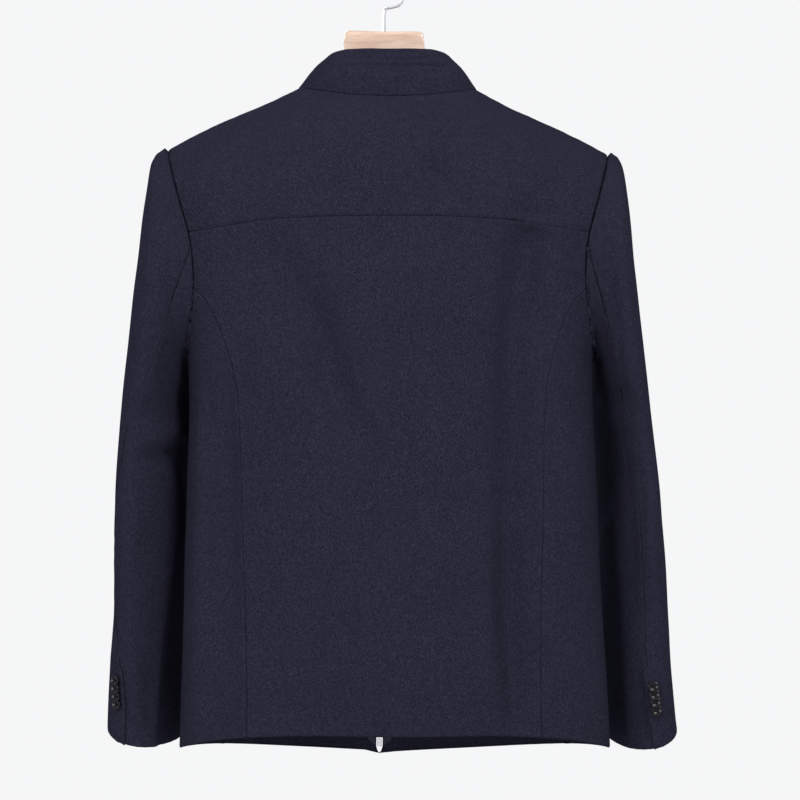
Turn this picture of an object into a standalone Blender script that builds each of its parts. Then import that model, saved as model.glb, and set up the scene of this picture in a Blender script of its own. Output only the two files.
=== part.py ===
"""A stand collar wool jacket hanging on a wooden coat hanger.

The origin is the point inside the hook's arch where the rail carries it. +Z is up, the front of the
jacket faces -Y, its back faces +Y, and the wearer's left is at +X. All sizes are in metres.

The body of the jacket is one smooth skin. A point of it is found from two numbers:
girth, which is 0 at the centre back, 1 at the left side, 2 at the centre front and negative on the right,
and fall, which is 0 on the shoulder line and grows down the cloth. Each panel is a stretch of that skin
between its own seams, given a wall.
"""

import math

import bmesh
import bpy
import numpy as np
from mathutils import Matrix, Vector

# Cloth
CLOTH = 0.002
SEAM_GAP = 0.0003
HEM_TOP = 0.008  # the fronts part below this height over the hem

# Shoulders
SHOULDER_HALF = 0.240  # centre line to shoulder point
RIDGE_HALF = 0.250  # half width of the skin at the shoulder line
SIDE_SHARPNESS = 0.6  # under 1 makes flat sides and a flat back

# The shoulder line, and the height over which the cloth rounds off it; under the neck it only guides the skin
RIDGE = [
    # out, height, rounding
    (0.000, -0.0950, 0.125),
    (0.050, -0.1010, 0.124),
    (0.095, -0.1195, 0.120),
    (0.114, -0.1300, 0.116),
    (0.150, -0.1457, 0.106),
    (0.187, -0.1620, 0.090),
    (0.220, -0.1780, 0.072),
    (0.250, -0.1950, 0.055),
]

# How much higher the shoulders lie than the plain shoulder line, across the jacket; it fades out down the yoke
LIFT = [
    # x, lift
    (-0.260, 0.0010),
    (-0.185, 0.0002),
    (-0.150, 0.0008),
    (-0.110, 0.0028),
    (-0.060, 0.0020),
    (0.000, 0.0000),
    (0.060, 0.0035),
    (0.110, 0.0048),
    (0.150, 0.0055),
    (0.185, 0.0062),
    (0.260, 0.0060),
]
LIFT_FOOT = -0.270  # the lift is gone at this height
LIFT_RUN = 0.080

# The body's sections, from the shoulder to below the hem
BODY = [
    # height, centre_x, half_width, side_y, back, front
    (-0.190, -0.0040, 0.2500, 0.000, 0.078, 0.072),
    (-0.300, -0.0060, 0.2320, 0.000, 0.086, 0.080),
    (-0.404, -0.0075, 0.2205, 0.002, 0.088, 0.084),
    (-0.565, -0.0090, 0.2242, 0.003, 0.085, 0.086),
    (-0.695, -0.0100, 0.2284, 0.004, 0.087, 0.090),
    (-0.823, -0.0115, 0.2335, 0.005, 0.091, 0.094),
    (-0.870, -0.0120, 0.2355, 0.005, 0.092, 0.095),
]

# Hem height around the half girth
HEM = [
    # girth, height
    (0.00, -0.8120),
    (0.45, -0.8125),
    (0.70, -0.8190),
    (0.85, -0.8280),
    (1.00, -0.8355),
    (1.30, -0.8400),
    (1.60, -0.8460),
    (2.10, -0.8545),
]

# Armhole, from the shoulder point to the underarm
UNDERARM = -0.404
ARMHOLE = [
    # along, drop share, back angle, front angle
    (0.0000, 0.000, 73.7, 73.7),
    (0.1250, 0.100, 71.6, 71.0),
    (0.2500, 0.220, 69.2, 67.4),
    (0.3750, 0.340, 66.9, 64.2),
    (0.4375, 0.405, 65.9, 62.9),
    (0.5625, 0.550, 65.9, 62.2),
    (0.6875, 0.687, 68.3, 64.8),
    (0.8125, 0.860, 74.4, 71.4),
    (0.9063, 0.965, 81.0, 79.5),
    (1.0000, 1.000, 90.0, 90.0),
]
ARM_STEPS = 32  # points round the armhole, counted from the shoulder point over the back
YOKE_END = 7  # the yoke seam meets the armhole here
PRINCESS_END = 11  # the back princess seam meets it here
SIDE_END = 21  # the side panel's front seam meets it here
SLEEVE_BACK = 8  # the sleeve's back seam starts here
SLEEVE_FRONT = 20  # the sleeve's front seam starts here

# Half distance between the back princess seams, as a share of the body's half width
PRINCESS = [
    # height, share
    (-0.3376, 0.914),
    (-0.3532, 0.867),
    (-0.3806, 0.820),
    (-0.4119, 0.780),
    (-0.4509, 0.748),
    (-0.4977, 0.734),
    (-0.5952, 0.711),
    (-0.7123, 0.683),
    (-0.8600, 0.668),
]
SIDE_SEAM_GIRTH = 1.30  # the side panel's front seam at the hem

# Yoke seam height around the half girth
YOKE = [
    # girth, height
    (0.00, -0.2610),
    (0.30, -0.2625),
    (0.50, -0.2660),
    (0.62, -0.2715),
    (0.80, -0.2790),
]

# Neckline on the skin
BACK_NECK = [
    # out, height
    (0.000, -0.1310),
    (0.037, -0.1305),
    (0.064, -0.1285),
    (0.083, -0.1250),
    (0.0975, -0.1210),
]
FRONT_NECK = [
    # out, height
    (0.000, -0.1960),
    (0.027, -0.1930),
    (0.054, -0.1830),
    (0.081, -0.1600),
    (0.0945, -0.1365),
    (0.0975, -0.1210),
]

# Top edge of the stand collar around the half neck
COLLAR_TOP = [
    # along, out, y, height
    (0.00, 0.0000, 0.0520, -0.0798),
    (0.20, 0.0310, 0.0505, -0.0796),
    (0.34, 0.0530, 0.0410, -0.0802),
    (0.45, 0.0655, 0.0180, -0.0835),
    (0.58, 0.0695, -0.0130, -0.0955),
    (0.72, 0.0595, -0.0410, -0.1190),
    (0.86, 0.0340, -0.0590, -0.1415),
    (1.00, 0.0000, -0.0660, -0.1530),
]
COLLAR_X = -0.0052  # the collar's own centre, a little to the right of the hook
COLLAR_ROLL = 0.0025  # how far the collar swells between its edges

# Soft folds of the body: where they run, how deep (+ is a ridge) and how wide
BODY_FOLDS = [
    # x0, z0, x1, z1, depth, width, on the back (1) or the front (-1)
    (0.110, -0.285, 0.020, -0.520, -0.0060, 0.026, 1),
    (0.135, -0.330, 0.060, -0.600, 0.0045, 0.030, 1),
    (-0.138, -0.215, -0.146, -0.800, -0.0055, 0.024, 1),
    (-0.180, -0.300, -0.190, -0.780, 0.0035, 0.026, 1),
    (0.180, -0.420, 0.176, -0.800, -0.0040, 0.022, 1),
    (-0.040, -0.620, -0.060, -0.830, 0.0040, 0.034, 1),
    (0.125, -0.240, 0.095, -0.620, -0.0060, 0.028, -1),
    (-0.135, -0.240, -0.120, -0.560, -0.0050, 0.026, -1),
    (0.060, -0.560, 0.080, -0.840, 0.0045, 0.032, -1),
    (-0.070, -0.480, -0.095, -0.840, -0.0045, 0.030, -1),
]

# Sleeve sections: the outer and inner points, the depth, and how far the oval turns
LEFT_SLEEVE = [
    # out_x, out_z, in_x, in_z, mid_y, half_y, turn, back_drop
    (0.2400, -0.1895, 0.2130, -0.4040, 0.000, 0.050, 0.00, 0.000),
    (0.2512, -0.1955, 0.2155, -0.4080, 0.000, 0.058, 0.00, 0.002),
    (0.2552, -0.2250, 0.2157, -0.4110, -0.001, 0.065, 0.04, 0.004),
    (0.2616, -0.2650, 0.2156, -0.4150, -0.003, 0.071, 0.08, 0.006),
    (0.2697, -0.3200, 0.2148, -0.4230, -0.006, 0.075, 0.12, 0.008),
    (0.2759, -0.3850, 0.2134, -0.4400, -0.010, 0.075, 0.18, 0.008),
    (0.2842, -0.4520, 0.2134, -0.4720, -0.014, 0.071, 0.24, 0.006),
    (0.2900, -0.5250, 0.2154, -0.5300, -0.019, 0.067, 0.28, 0.004),
    (0.2940, -0.6050, 0.2170, -0.6080, -0.024, 0.062, 0.30, 0.004),
    (0.2952, -0.6750, 0.2190, -0.6800, -0.029, 0.058, 0.30, 0.006),
    (0.3008, -0.7450, 0.2200, -0.7540, -0.034, 0.055, 0.30, 0.008),
    (0.3038, -0.8110, 0.2215, -0.8305, -0.038, 0.053, 0.30, 0.011),
]
RIGHT_SLEEVE = [
    # out_x, out_z, in_x, in_z, mid_y, half_y, turn, back_drop
    (0.2480, -0.1915, 0.2280, -0.4040, 0.000, 0.050, 0.00, 0.000),
    (0.2572, -0.1955, 0.2311, -0.4080, 0.000, 0.058, 0.00, 0.002),
    (0.2604, -0.2250, 0.2316, -0.4110, -0.001, 0.065, 0.04, 0.004),
    (0.2662, -0.2650, 0.2315, -0.4150, -0.003, 0.071, 0.08, 0.006),
    (0.2729, -0.3200, 0.2308, -0.4230, -0.006, 0.075, 0.12, 0.008),
    (0.2796, -0.3850, 0.2290, -0.4400, -0.010, 0.075, 0.18, 0.008),
    (0.2869, -0.4520, 0.2296, -0.4720, -0.014, 0.071, 0.24, 0.006),
    (0.2948, -0.5250, 0.2330, -0.5300, -0.019, 0.067, 0.28, 0.004),
    (0.3033, -0.6050, 0.2365, -0.6080, -0.024, 0.062, 0.30, 0.004),
    (0.3095, -0.6750, 0.2396, -0.6800, -0.029, 0.058, 0.30, 0.006),
    (0.3155, -0.7450, 0.2425, -0.7530, -0.034, 0.055, 0.30, 0.008),
    (0.3218, -0.8125, 0.2450, -0.8320, -0.038, 0.053, 0.30, 0.012),
]
SLEEVES = {"left": (1, LEFT_SLEEVE), "right": (-1, RIGHT_SLEEVE)}
SLEEVE_ROWS = 10  # rings between the head and the vent
HEAD_BLEND = 0.16  # share of the sleeve over which it takes up the armhole's shape

# Where the sleeve's two seams run round its oval, in degrees from the outer side over the back
SLEEVE_SEAMS = {
    "left": [
        # along, back seam, front seam
        (0.00, 108.0, 236.0),
        (0.10, 114.0, 236.0),
        (0.20, 117.0, 236.0),
        (0.30, 118.0, 236.0),
        (0.40, 112.0, 235.0),
        (0.50, 96.0, 234.0),
        (0.60, 69.0, 233.0),
        (0.70, 42.0, 232.0),
        (0.80, 40.0, 231.0),
        (0.85, 55.0, 231.0),
        (0.90, 76.0, 230.0),
        (1.00, 80.0, 230.0),
    ],
    "right": [
        # along, back seam, front seam
        (0.00, 114.0, 236.0),
        (0.10, 123.0, 236.0),
        (0.20, 128.0, 236.0),
        (0.30, 131.0, 236.0),
        (0.40, 130.0, 235.0),
        (0.50, 128.0, 234.0),
        (0.60, 121.0, 233.0),
        (0.70, 112.0, 232.0),
        (0.80, 109.0, 231.0),
        (0.90, 107.0, 230.0),
        (1.00, 93.0, 230.0),
    ],
}

# Folds of the sleeves: along the sleeve, round it, their size and depth
SLEEVE_FOLDS = {
    "left": [
        # along, angle, length, spread, slope, depth
        (0.520, 150.0, 0.035, 60.0, -0.0010, -0.0110),
        (0.470, 150.0, 0.045, 50.0, -0.0008, 0.0040),
        (0.600, 150.0, 0.050, 50.0, -0.0006, 0.0040),
        (0.500, 270.0, 0.040, 45.0, 0.0008, -0.0070),
    ],
    "right": [
        # along, angle, length, spread, slope, depth
        (0.500, 150.0, 0.060, 50.0, -0.0006, -0.0090),
        (0.600, 150.0, 0.050, 45.0, -0.0005, 0.0030),
        (0.480, 270.0, 0.045, 45.0, 0.0008, -0.0060),
    ],
}

# Cuff vent and its buttons
VENT_LENGTH = 0.092
VENT_LAP = 0.004
VENT_STEPS = (0.0885, 0.0850)  # from the cuff: where the lap is lifted clear, and where it is full
VENT_LIFT = CLOTH + 0.0013
BUTTON_R = 0.0058
BUTTON_T = 0.0022
BUTTON_PITCH = 0.0087
BUTTON_COUNT = 4
BUTTON_TILT = math.radians(17)
BUTTON_IN = 0.0095  # from the vent's edge to the buttons' centres
LAST_BUTTON_UP = 0.043  # from the cuff's edge

# Zip
ZIP_GAP = 0.0068  # between the fronts
ZIP_GAP_HEM = 0.0024
CHAIN_W = 0.0060
CHAIN_T = 0.0022
CHAIN_DEPTH = 0.0002
TAPE_W = 0.0120
TAPE_T = 0.0010
TAPE_IN = 0.0010  # the tape starts this far behind the front's edge
TAPE_DEPTH = CLOTH + 0.0004
BOX_LENGTH = 0.009
SLIDER_LENGTH = 0.011
SLIDER_W = 0.0090
SLIDER_T = 0.0012
SLIDER_FROM_TOP = 0.007
BAIL_REACH = 0.0032
BAIL_W = 0.0020
BAIL_T = 0.0009
PIVOT_UP = 0.0015  # pull's bar over the slider's face
PULL_LENGTH = 0.030
PULL_W = 0.0072
PULL_T = 0.0014
PULL_BAR = 0.0014
PULL_HOLE = 0.0048

# Hanger
HOOK_R = 0.0018
HOOK_ARCH = 0.020  # inner radius of the arch
HOOK_FOOT = [
    # x, height of the wire from over the block to the arch's side
    (0.0000, -0.0560),
    (0.0000, -0.0475),
    (-0.0006, -0.0451),
    (-0.0018, -0.0435),
    (-0.0036, -0.0427),
    (-0.0100, -0.0416),
    (-0.0142, -0.0406),
    (-0.0170, -0.0392),
    (-0.0190, -0.0368),
    (-0.0204, -0.0335),
    (-0.0213, -0.0295),
    (-0.0217, -0.0250),
]
BLOCK_TOP = -0.0545
HANGER = [
    # out, top, bottom, half thickness, crown
    (0.0000, -0.0545, -0.1450, 0.0070, 0.006),
    (0.0300, -0.0545, -0.1460, 0.0070, 0.006),
    (0.0405, -0.0552, -0.1465, 0.0070, 0.006),
    (0.0428, -0.0575, -0.1470, 0.0070, 0.006),
    (0.0438, -0.0620, -0.1475, 0.0070, 0.006),
    (0.0446, -0.0850, -0.1480, 0.0070, 0.007),
    (0.0480, -0.1030, -0.1500, 0.0070, 0.008),
    (0.0560, -0.1140, -0.1525, 0.0072, 0.010),
    (0.0700, -0.1225, -0.1565, 0.0076, 0.012),
    (0.0900, -0.1300, -0.1625, 0.0084, 0.014),
    (0.1140, -0.1400, -0.1700, 0.0096, 0.016),
    (0.1350, -0.1480, -0.1770, 0.0108, 0.016),
    (0.1560, -0.1560, -0.1840, 0.0120, 0.016),
    (0.1780, -0.1650, -0.1910, 0.0130, 0.015),
    (0.1980, -0.1735, -0.1968, 0.0136, 0.013),
    (0.2100, -0.1785, -0.1985, 0.0132, 0.011),
    (0.2160, -0.1825, -0.1975, 0.0110, 0.008),
    (0.2185, -0.1855, -0.1960, 0.0080, 0.006),
]
HANG = 0.0138  # how much lower the garment and the wood lie than their own tables say

WOOL = (0.018, 0.020, 0.036)
ZIP_CLOTH = (0.012, 0.013, 0.020)
STEEL = (0.62, 0.62, 0.64)
CHROME = (0.85, 0.86, 0.88)
WOOD = (0.66, 0.47, 0.30)
HORN = (0.020, 0.021, 0.028)


def column(table, number):
    return np.array([row[number] for row in table], float)


def read(table, number, at):
    """A column of a table at the first column's value, on a smooth curve through the rows."""
    x, y = column(table, 0), column(table, number)
    if x[0] > x[-1]:
        x, y = x[::-1], y[::-1]
    at = np.clip(at, x[0], x[-1])
    slope = np.gradient(y, x)
    i = np.clip(np.searchsorted(x, at, side="right") - 1, 0, len(x) - 2)
    width = x[i + 1] - x[i]
    s = (at - x[i]) / width
    s2, s3 = s * s, s * s * s
    start = (2 * s3 - 3 * s2 + 1) * y[i] + (s3 - 2 * s2 + s) * width * slope[i]
    end = (3 * s2 - 2 * s3) * y[i + 1] + (s3 - s2) * width * slope[i + 1]
    return start + end


def girth_scale():
    """Angles and the girth share that each reaches, so that equal girth steps are equal cloth."""
    angle = np.linspace(0, math.pi / 2, 2001)
    x = 0.222 * np.sin(angle)
    y = 0.086 * np.cos(angle) ** SIDE_SHARPNESS
    length = np.concatenate([[0], np.cumsum(np.hypot(np.diff(x), np.diff(y)))])
    return angle, length / length[-1]


ANGLES, SHARES = girth_scale()


def angle_of(girth):
    """Angle round the section: 0 at the centre back, a quarter turn at the side."""
    quarter = np.floor(np.abs(girth))
    part = np.abs(girth) - quarter
    rising = np.interp(part, SHARES, ANGLES)
    falling = math.pi / 2 - np.interp(1 - part, SHARES, ANGLES)
    turned = np.where(quarter % 2 == 0, rising, falling)
    return np.sign(girth) * (quarter * math.pi / 2 + turned)


def girth_of(angle):
    """Girth of an angle from 0 to a half turn."""
    back = np.interp(np.minimum(angle, math.pi / 2), ANGLES, SHARES)
    front = 2 - np.interp(np.minimum(math.pi - angle, math.pi / 2), ANGLES, SHARES)
    return np.where(angle <= math.pi / 2, back, front)


def ridge_at(girth):
    """Height of the shoulder line and the rounding under it."""
    out = RIDGE_HALF * np.abs(np.sin(angle_of(girth)))
    return read(RIDGE, 1, out), read(RIDGE, 2, out)


def height_at(girth, fall):
    ridge, rounding = ridge_at(girth)
    turned = np.minimum(fall, math.pi / 2)
    straight = np.maximum(fall - math.pi / 2, 0)
    return ridge - rounding * (1 - np.cos(turned) + straight)


def fall_at(girth, height):
    ridge, rounding = ridge_at(girth)
    share = (ridge - height) / rounding
    return np.arccos(np.clip(1 - share, 0, 1)) + np.maximum(share - 1, 0)


def fold_depth(x, z, facing):
    """How far the body's soft folds stand out at a place on the back or the front."""
    depth = np.zeros_like(x)
    for x0, z0, x1, z1, deep, wide, side in BODY_FOLDS:
        run = np.hypot(x1 - x0, z1 - z0)
        along = ((x - x0) * (x1 - x0) + (z - z0) * (z1 - z0)) / run**2
        across = ((x - x0) * (z1 - z0) - (z - z0) * (x1 - x0)) / run
        fade = np.exp(-np.maximum(0, np.abs(along - 0.5) - 0.32) ** 2 / 0.02)
        here = np.clip(facing * side * 3, 0, 1)
        depth += here * deep * fade * np.exp(-((across / wide) ** 2))
    return depth


def lift_at(x, z):
    share = np.clip((z - LIFT_FOOT) / LIFT_RUN, 0, 1)
    return read(LIFT, 1, x) * share * share * (3 - 2 * share)


def skin(girth, fall):
    """Points of the body's outer face."""
    angle = angle_of(girth)
    z = height_at(girth, fall)
    closing = np.sin(np.minimum(fall, math.pi / 2))
    x = read(BODY, 1, z) + read(BODY, 2, z) * np.sin(angle)
    flat = np.sign(np.cos(angle)) * np.abs(np.cos(angle)) ** SIDE_SHARPNESS
    depth = np.where(flat > 0, read(BODY, 4, z), read(BODY, 5, z))
    fold = fold_depth(x, z, flat) * np.clip(closing * 2 - 1, 0, 1)
    y = read(BODY, 3, z) + closing * depth * flat + fold * np.sign(flat)
    return np.stack([x, y, z + lift_at(x, z)], axis=-1)


def skin_normal(girth, fall):
    step = 1e-3
    across = skin(girth + step, fall) - skin(girth - step, fall)
    down = skin(girth, fall + step) - skin(girth, fall - step)
    n = np.cross(across, down)
    return n / np.linalg.norm(n, axis=-1, keepdims=True)


def armhole():
    """Girth and fall of the points round the left armhole, from the shoulder point over the back."""
    half = ARM_STEPS // 2
    steps = np.arange(ARM_STEPS)
    along = 1 - np.abs(steps / half - 1)
    tip = read(RIDGE, 1, SHOULDER_HALF)
    height = tip + (UNDERARM - tip) * read(ARMHOLE, 1, along)
    back = np.radians(read(ARMHOLE, 2, along))
    front = math.pi - np.radians(read(ARMHOLE, 3, along))
    angle = np.where(steps <= half, back, front)
    girth = girth_of(angle)
    girth[0] = girth_of(np.arcsin(SHOULDER_HALF / RIDGE_HALF))
    fall = fall_at(girth, height)
    fall[0] = 0
    return np.stack([girth, fall], axis=-1)


ARM = armhole()
ARM_FRONT_TIP = np.array([2 - ARM[0, 0], 0.0])  # the shoulder point as the front panel sees it


def at_height(girth, height):
    return np.stack([girth, fall_at(girth, height)], axis=-1)


def evenly(start, end, count):
    """count + 1 values from start to end."""
    return np.linspace(start, end, count + 1)


def hem_line(girths):
    return at_height(girths, read(HEM, 1, np.abs(girths)))


def side_rows(start, end, rows, crowd=1.0):
    """Heights of a seam's points from the hem up, with one row just over the hem."""
    share = 1 - (1 - np.linspace(0, 1, rows)) ** crowd
    return np.concatenate([[start], start + HEM_TOP + (end - start - HEM_TOP) * share])


BODY_ROWS = 14  # rows from the hem to the armhole, over the first


def princess_line():
    """The left princess seam from the hem to the armhole."""
    top_girth, top_fall = ARM[PRINCESS_END]
    top = height_at(top_girth, top_fall)
    hem_girth = girth_of(np.arcsin(read(PRINCESS, 1, HEM[1][1])))
    bottom = read(HEM, 1, hem_girth)
    heights = side_rows(bottom, top, BODY_ROWS, crowd=1.5)
    girths = girth_of(np.arcsin(read(PRINCESS, 1, heights)))
    girths[-1] = top_girth
    return at_height(girths, heights)


def side_line():
    """The left side panel's front seam from the hem to the armhole."""
    top_girth, top_fall = ARM[SIDE_END]
    top = height_at(top_girth, top_fall)
    heights = side_rows(read(HEM, 1, SIDE_SEAM_GIRTH), top, BODY_ROWS)
    share = (heights - heights[0]) / (top - heights[0])
    girths = SIDE_SEAM_GIRTH + (top_girth - SIDE_SEAM_GIRTH) * share**3
    return at_height(girths, heights)


def neck_girth(out):
    return girth_of(np.arcsin(out / RIDGE_HALF))


BACK_NECK_STEPS = 5
FRONT_NECK_STEPS = 7
SHOULDER_STEPS = 5


def back_neck():
    """The left half of the back neckline, from the shoulder line to the centre back."""
    out = column(BACK_NECK, 0)[-1] * np.sin(evenly(math.pi / 2, 0, BACK_NECK_STEPS))
    points = at_height(neck_girth(out), read(BACK_NECK, 1, out))
    points[0, 1] = 0
    return points


def front_neck():
    """The left half of the front neckline, from the shoulder line to the zip."""
    out = column(FRONT_NECK, 0)[-1] * np.sin(evenly(math.pi / 2, 0, FRONT_NECK_STEPS))
    points = at_height(2 - neck_girth(out), read(FRONT_NECK, 1, out))
    points[0, 1] = 0
    return points


def shoulder_seam(front):
    """The shoulder line from the shoulder point to the neck."""
    tip = ARM_FRONT_TIP[0] if front else ARM[0, 0]
    neck = (front_neck() if front else back_neck())[0, 0]
    return np.stack([evenly(tip, neck, SHOULDER_STEPS), np.zeros(SHOULDER_STEPS + 1)], -1)


def mirrored(line):
    """The same seam on the wearer's right."""
    return line * np.array([-1.0, 1.0])


RELAX = 40  # rounds that even out a patch between its seams


def coons(bottom, top, left, right):
    """A patch between four seams, each a row of girth and fall. Rows run bottom to top."""
    rows, columns = len(left), len(bottom)
    s = np.linspace(0, 1, columns)[None, :, None]
    t = np.linspace(0, 1, rows)[:, None, None]
    # a seam's own spacing carries into the patch
    t = (cumulative(left)[:, None, None] * (1 - s) + cumulative(right)[:, None, None] * s)
    s = (cumulative(bottom)[None, :, None] * (1 - t) + cumulative(top)[None, :, None] * t)
    ruled = (1 - t) * bottom[None] + t * top[None]
    lofted = (1 - s) * left[:, None] + s * right[:, None]
    corners = (
        (1 - t) * ((1 - s) * bottom[0] + s * bottom[-1])
        + t * ((1 - s) * top[0] + s * top[-1])
    )
    patch = ruled + lofted - corners
    for _ in range(RELAX):
        around = patch[:-2, 1:-1] + patch[2:, 1:-1] + patch[1:-1, :-2] + patch[1:-1, 2:]
        patch[1:-1, 1:-1] = around / 4
    return patch


def cumulative(line):
    """Share of a seam's length at each of its points."""
    points = skin(line[:, 0], line[:, 1])
    length = np.linalg.norm(np.diff(points, axis=0), axis=1)
    return np.concatenate([[0], np.cumsum(length)]) / length.sum()


def draw_in(points, inner, gap):
    """Moves a patch's outer rows and columns inward by a gap, within the cloth."""
    moved, under = points.copy(), inner.copy()
    for edge, inside, axis in ((0, 1, 0), (-1, -2, 0), (0, 1, 1), (-1, -2, 1)):
        here = np.take(points, edge, axis=axis)
        towards = np.take(points, inside, axis=axis) - here
        along = np.gradient(here, axis=0)
        along /= np.maximum(np.linalg.norm(along, axis=-1, keepdims=True), 1e-12)
        towards -= along * (towards * along).sum(-1, keepdims=True)
        steps = np.diff(here, axis=0)
        steps /= np.maximum(np.linalg.norm(steps, axis=-1, keepdims=True), 1e-12)
        turn = np.concatenate([[1.0], (steps[1:] * steps[:-1]).sum(-1), [1.0]])[:, None]
        mitre = 1 / np.sqrt(np.clip((1 + turn) / 2, 0.3, 1))
        shift = gap * mitre * towards / np.linalg.norm(towards, axis=-1, keepdims=True)
        place = (edge, slice(None)) if axis == 0 else (slice(None), edge)
        moved[place] += shift
        under[place] += shift
    return moved, under


def material(name, colour, roughness, metallic=0.0):
    made = bpy.data.materials.get(name) or bpy.data.materials.new(name)
    made.use_nodes = True
    shader = made.node_tree.nodes["Principled BSDF"]
    shader.inputs["Base Color"].default_value = (*colour, 1.0)
    shader.inputs["Roughness"].default_value = roughness
    shader.inputs["Metallic"].default_value = metallic
    return made


def keep(name, mesh, finish):
    node = bpy.data.objects.new(name, mesh)
    node.data.materials.append(finish)
    bpy.context.scene.collection.objects.link(node)
    return node


def wall(name, outer, inner, finish):
    """A closed wall between two grids of points of the same shape."""
    rows, columns = outer.shape[:2]
    bm = bmesh.new()
    over = [[bm.verts.new(p) for p in row] for row in outer]
    under = [[bm.verts.new(p) for p in row] for row in inner]
    for i in range(rows - 1):
        for j in range(columns - 1):
            bm.faces.new((over[i][j], over[i][j + 1], over[i + 1][j + 1], over[i + 1][j]))
            bm.faces.new((under[i][j], under[i + 1][j], under[i + 1][j + 1], under[i][j + 1]))
    for i in (0, rows - 1):
        for j in range(columns - 1):
            bm.faces.new((over[i][j], under[i][j], under[i][j + 1], over[i][j + 1]))
    for j in (0, columns - 1):
        for i in range(rows - 1):
            bm.faces.new((over[i][j], over[i + 1][j], under[i + 1][j], under[i][j]))
    bmesh.ops.recalc_face_normals(bm, faces=bm.faces[:])
    bmesh.ops.triangulate(bm, faces=bm.faces[:])
    mesh = bpy.data.meshes.new(name)
    bm.to_mesh(mesh)
    bm.free()
    mesh.shade_smooth()
    mesh.set_sharp_from_angle(angle=math.radians(50))
    return keep(name, mesh, finish)


def outward(points, normals, centre):
    """Normals turned to point away from the garment's inside."""
    facing = ((points - centre) * normals).sum(-1, keepdims=True)
    return normals * np.where(facing < 0, -1, 1)


def body_panel(name, patch, finish):
    """A panel of the body: a patch of the skin with a wall, drawn in from its seams."""
    points = skin(patch[..., 0], patch[..., 1])
    normals = skin_normal(patch[..., 0], patch[..., 1])
    centre = np.stack([np.zeros(points.shape[:2]) + BODY[2][1], points[..., 1] * 0, points[..., 2] - 0.03], -1)
    normals = outward(points, normals, centre)
    wall(name, *draw_in(points, points - CLOTH * normals, SEAM_GAP / 2), finish)
    return points, normals


def zip_edge(heights, side):
    """Girth and fall of a front's edge along the zip, at these heights."""
    gap = np.where(heights < heights[0] + HEM_TOP / 2, ZIP_GAP_HEM, ZIP_GAP) / 2
    angle = (centre_front_x(heights) - read(BODY, 1, heights) + side * gap) / read(BODY, 2, heights)
    girth = 2 - side * girth_share(np.arcsin(angle))
    return at_height(side * girth, heights)


def girth_share(angle):
    return np.sign(angle) * np.interp(np.abs(angle), ANGLES, SHARES)


def centre_front_x(height):
    """The zip hangs plumb from the neck, and so off the hem's own centre."""
    top, bottom = FRONT_NECK[0][1], HEM[-1][1]
    share = (top - height) / (top - bottom)
    return -0.006 + 0.012 * share


def front_heights():
    """Heights of the zip edge's points, from the hem to the neck."""
    return side_rows(HEM[-1][1], FRONT_NECK[0][1], BODY_ROWS + ARM_STEPS - SIDE_END)


def make_back(wool):
    princess = princess_line()
    rise = ARM[YOKE_END : PRINCESS_END + 1][::-1]
    left = np.concatenate([princess, rise[1:]])
    columns = 2 * (SHOULDER_STEPS + BACK_NECK_STEPS)
    hem = hem_line(evenly(-left[0, 0], left[0, 0], columns))
    across = evenly(-left[-1, 0], left[-1, 0], columns)
    seam = at_height(across, yoke_height(across))
    body_panel("back_panel", coons(hem, seam, mirrored(left), left), wool)
    sides = ARM[: YOKE_END + 1][::-1]
    half_top = np.concatenate([shoulder_seam(False), back_neck()[1:]])
    top = np.concatenate([mirrored(half_top), half_top[::-1][1:]])
    body_panel("back_yoke", coons(seam, top, mirrored(sides), sides), wool)


def yoke_height(girth):
    """The yoke seam's height, meeting the armhole at its end."""
    end_girth, end_fall = ARM[YOKE_END]
    end = height_at(end_girth, end_fall)
    share = np.abs(girth) / end_girth
    return read(YOKE, 1, np.abs(girth)) + (end - read(YOKE, 1, end_girth)) * share**6


def make_side_panels(wool):
    back, front = princess_line(), side_line()
    top = ARM[PRINCESS_END : SIDE_END + 1]
    hem = hem_line(evenly(back[0, 0], front[0, 0], len(top) - 1))
    patch = coons(hem, top, back, front)
    body_panel("side_panel_left", patch, wool)
    body_panel("side_panel_right", patch * np.array([-1.0, 1.0]), wool)


def make_fronts(wool):
    """Both fronts; gives back their points and outward directions for the zip's tapes."""
    made = {}
    side = np.concatenate([side_line(), ARM[SIDE_END + 1 :], [ARM_FRONT_TIP]])
    for name, sign in (("left", 1), ("right", -1)):
        edge = zip_edge(front_heights(), sign)
        top = np.concatenate([shoulder_seam(True), front_neck()[1:]])[::-1] * (sign, 1)
        top[0] = edge[-1]
        here = side * (sign, 1)
        hem = hem_line(evenly(edge[0, 0], here[0, 0], len(top) - 1))
        hem[0] = edge[0]
        made[name] = body_panel(f"front_{name}", coons(hem, top, edge, here), wool)
    return made


def collar_base():
    """Points and outward directions of the neckline, from the left zip edge over the back."""
    left = np.concatenate([front_neck()[::-1], back_neck()[1:]])
    edge = zip_edge(front_heights(), 1)[-1]
    left[0] = edge
    right = mirrored(left)[::-1][1:]
    right[-1] = zip_edge(front_heights(), -1)[-1]
    ring = np.concatenate([left, right])
    points = skin(ring[:, 0], ring[:, 1])
    between = (points[1:] + points[:-1]) / 2
    points = np.concatenate([np.stack([points[:-1], between], 1).reshape(-1, 3), points[-1:]])
    length = np.concatenate([[0], np.cumsum(np.linalg.norm(np.diff(points, axis=0), axis=1))])
    along = 1 - 2 * length / length[-1]
    return points, along


COLLAR_ROWS = 4


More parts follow.
